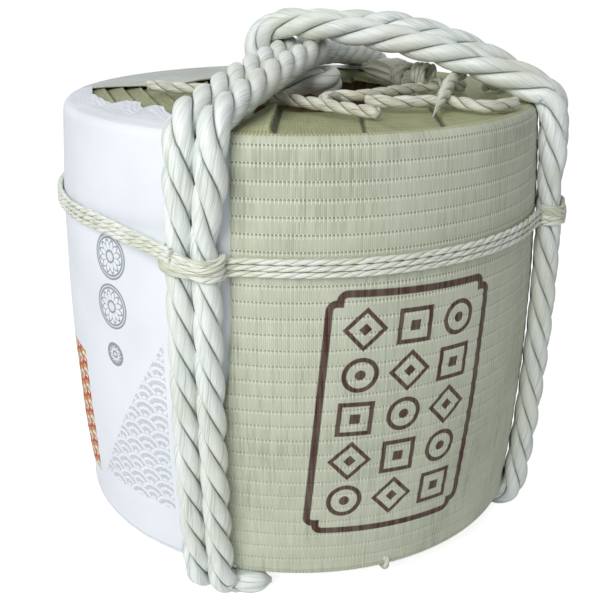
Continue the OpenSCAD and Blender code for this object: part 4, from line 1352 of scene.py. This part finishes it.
@dataclass
class WoodenCask:
    """The cedar cask, its hoops and padding inside the wrapping."""

    pad_top: float = 543.2
    pad_foot: float = 39.2

    def padding(self) -> None:
        """Makes the straw between the hoops and the mat: a tube whose wall bulges unevenly."""
        az = np.linspace(0, 360, 241)[:-1]
        z = np.linspace(self.pad_foot + 1, self.pad_top - 1, 60)
        outer = mat_r(z) - 6.6
        inner = 260.0 + 10.0 * (z - self.pad_foot) / 504.0 + 10.2
        r = np.concatenate([inner, outer[::-1]])
        height = np.concatenate([z, z[::-1]])
        grid_r, grid_az = np.meshgrid(r, az, indexing="ij")
        grid_z = np.broadcast_to(height[:, None], grid_r.shape).copy()
        tangle = ripple(grid_r.shape, 31, (12, 18, 27))
        outside = np.concatenate([np.zeros(60), np.ones(60)])[:, None]
        grid_r = grid_r - 1.5 * (tangle + 1.4) * outside
        uv = np.stack(np.meshgrid(np.linspace(0, 1.9, 241), np.linspace(0, 1.1, 121)), axis=-1)
        # The hollows of the tangle go to the finish, which paints shade in the deepest of them
        piece = surface("straw_padding", polar(grid_az, grid_r, grid_z), uv,
                        np.clip(-tangle, 0, 1) * outside, round_closed=True, along_closed=True)
        dress(piece, Finish.STRAW.value.make(), "straw", "straw_lining")

    def build(self) -> None:
        """Gives each wooden node its material, and makes the padding."""
        made = {finish: finish.value.make() for finish in (Finish.CEDAR, Finish.BOARD, Finish.BUNG,
                                                           Finish.BAMBOO)}
        starts = {"stave": Finish.CEDAR, "head_board": Finish.BOARD, "base_board": Finish.BOARD,
                  "bung": Finish.BUNG, "hoop": Finish.BAMBOO, "head_dowels": Finish.BAMBOO,
                  "base_dowels": Finish.BAMBOO}
        for node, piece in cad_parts.items():
            for start, finish in starts.items():
                if node.startswith(start):
                    piece.data.materials.clear()
                    piece.data.materials.append(made[finish])
        self.padding()


def stand(piece: bpy.types.Object, right: np.ndarray, up: np.ndarray, back: np.ndarray,
          at: np.ndarray) -> None:
    """Links a camera or a lamp to the scene and turns it.

    Args:
        piece: the camera or the lamp, which looks along its own -Z.
        right: where its X axis points.
        up: where its Y axis points.
        back: where its Z axis points.
        at: its place, in metres.
    """
    bpy.context.scene.collection.objects.link(piece)
    matrix = np.eye(4)
    matrix[:3, :] = np.stack([right, up, back, at], axis=1)
    piece.matrix_world = matrix.T.tolist()


@dataclass
class Studio:
    """The camera at the photograph's angle, a pale floor and soft light."""

    azimuth: float = 109.3
    away: float = 1.1969
    height: float = 0.7326
    tilt: float = 0.370
    roll: float = 0.003
    focal: float = 914.737

    def camera(self) -> None:
        """Puts the camera where the photograph was taken from."""
        a = math.radians(self.azimuth)
        back = np.array([math.sin(a), -math.cos(a), 0.0])
        right = np.array([math.cos(a), math.sin(a), 0.0])
        forward = -back * math.cos(self.tilt) - np.array([0, 0, math.sin(self.tilt)])
        up = np.cross(right, forward)
        right_2 = math.cos(self.roll) * right + math.sin(self.roll) * up
        up_2 = -math.sin(self.roll) * right + math.cos(self.roll) * up
        data = bpy.data.cameras.new("camera")
        data.sensor_width, data.lens = 36.0, 36.0 * self.focal / 600
        data.clip_start, data.clip_end = 0.05, 50.0
        camera = bpy.data.objects.new("camera", data)
        stand(camera, right_2, up_2, -forward, back * self.away + np.array([0, 0, self.height]))
        bpy.context.scene.camera = camera

    def light(self, name: str, azimuth: float, elevation: float, away: float, size: float,
              power: float, colour: str) -> None:
        """Adds a soft square lamp that looks at the middle of the cask.

        Args:
            name: its name.
            azimuth: its angle from the front, in degrees.
            elevation: its angle above the floor.
            away: its distance in metres.
            size: its side in metres.
            power: its power in watts.
            colour: its colour.
        """
        data = bpy.data.lights.new(name, "AREA")
        data.shape, data.size, data.energy = "SQUARE", size, power
        data.color = hex_colour(colour)[:3]
        lamp = bpy.data.objects.new(name, data)
        az, el = math.radians(azimuth), math.radians(elevation)
        z_axis = np.array([math.cos(el) * math.sin(az), -math.cos(el) * math.cos(az), math.sin(el)])
        x_axis = np.array([math.cos(az), math.sin(az), 0.0])
        stand(lamp, x_axis, np.cross(z_axis, x_axis), z_axis, z_axis * away + np.array([0, 0, 0.28]))

    def surroundings(self) -> None:
        """Makes the floor and a world that is white to the camera and soft grey to the cask."""
        world = bpy.data.worlds.new("studio")
        bpy.context.scene.world = world
        world.use_nodes = True
        world.node_tree.nodes.clear()
        t = world.node_tree
        rays = put(t, "LightPath")
        seen = put(t, "Math:MAXIMUM", rays.outputs["Is Camera Ray"], put(
            t, "Math:MAXIMUM", rays.outputs["Is Glossy Ray"], rays.outputs["Is Transmission Ray"]))
        plain = put(t, "Background", "#f2f5fa", 0.28)
        white = put(t, "Background", "#ffffff", 1.0)
        put(t, "OutputWorld", put(t, "MixShader", seen, plain, white))
        material, t = new_material("pale_floor")
        rays = put(t, "LightPath")
        diffuse = put(t, "BsdfDiffuse", "#ffffff")
        glow = put(t, "Emission", "#ffffff", 0.76)
        both = put(t, "AddShader", diffuse, glow)
        put(t, "OutputMaterial", put(t, "MixShader", rays.outputs["Is Camera Ray"], diffuse, both))
        size = 20.0
        mesh = bpy.data.meshes.new("floor")
        mesh.from_pydata([(-size, -size, -0.0005), (size, -size, -0.0005), (size, size, -0.0005),
                          (-size, size, -0.0005)], [], [(0, 1, 2, 3)])
        floor = bpy.data.objects.new("floor", mesh)
        mesh.materials.append(material)
        bpy.context.scene.collection.objects.link(floor)

    def build(self) -> None:
        """Makes the camera, the lamps and the surroundings."""
        bpy.context.scene.view_settings.view_transform = "Standard"
        self.camera()
        self.light("key", self.azimuth - 28, 34, 2.8, 1.5, 46.0, "#fffefb")
        self.light("fill", self.azimuth - 110, 30, 3.2, 2.4, 5.0, "#f3f7ff")
        self.light("top", self.azimuth - 20, 82, 2.4, 1.8, 6.0, "#ffffff")
        self.surroundings()


def main() -> None:
    """Builds the studio and the cask in order."""
    logging.basicConfig(level=logging.INFO, format="%(message)s")
    Studio().build()
    Sling().build()
    WaistCords().build()
    Lacing().build()
    Wrapping().build()
    WoodenCask().build()


if __name__ == "__main__":
    main()
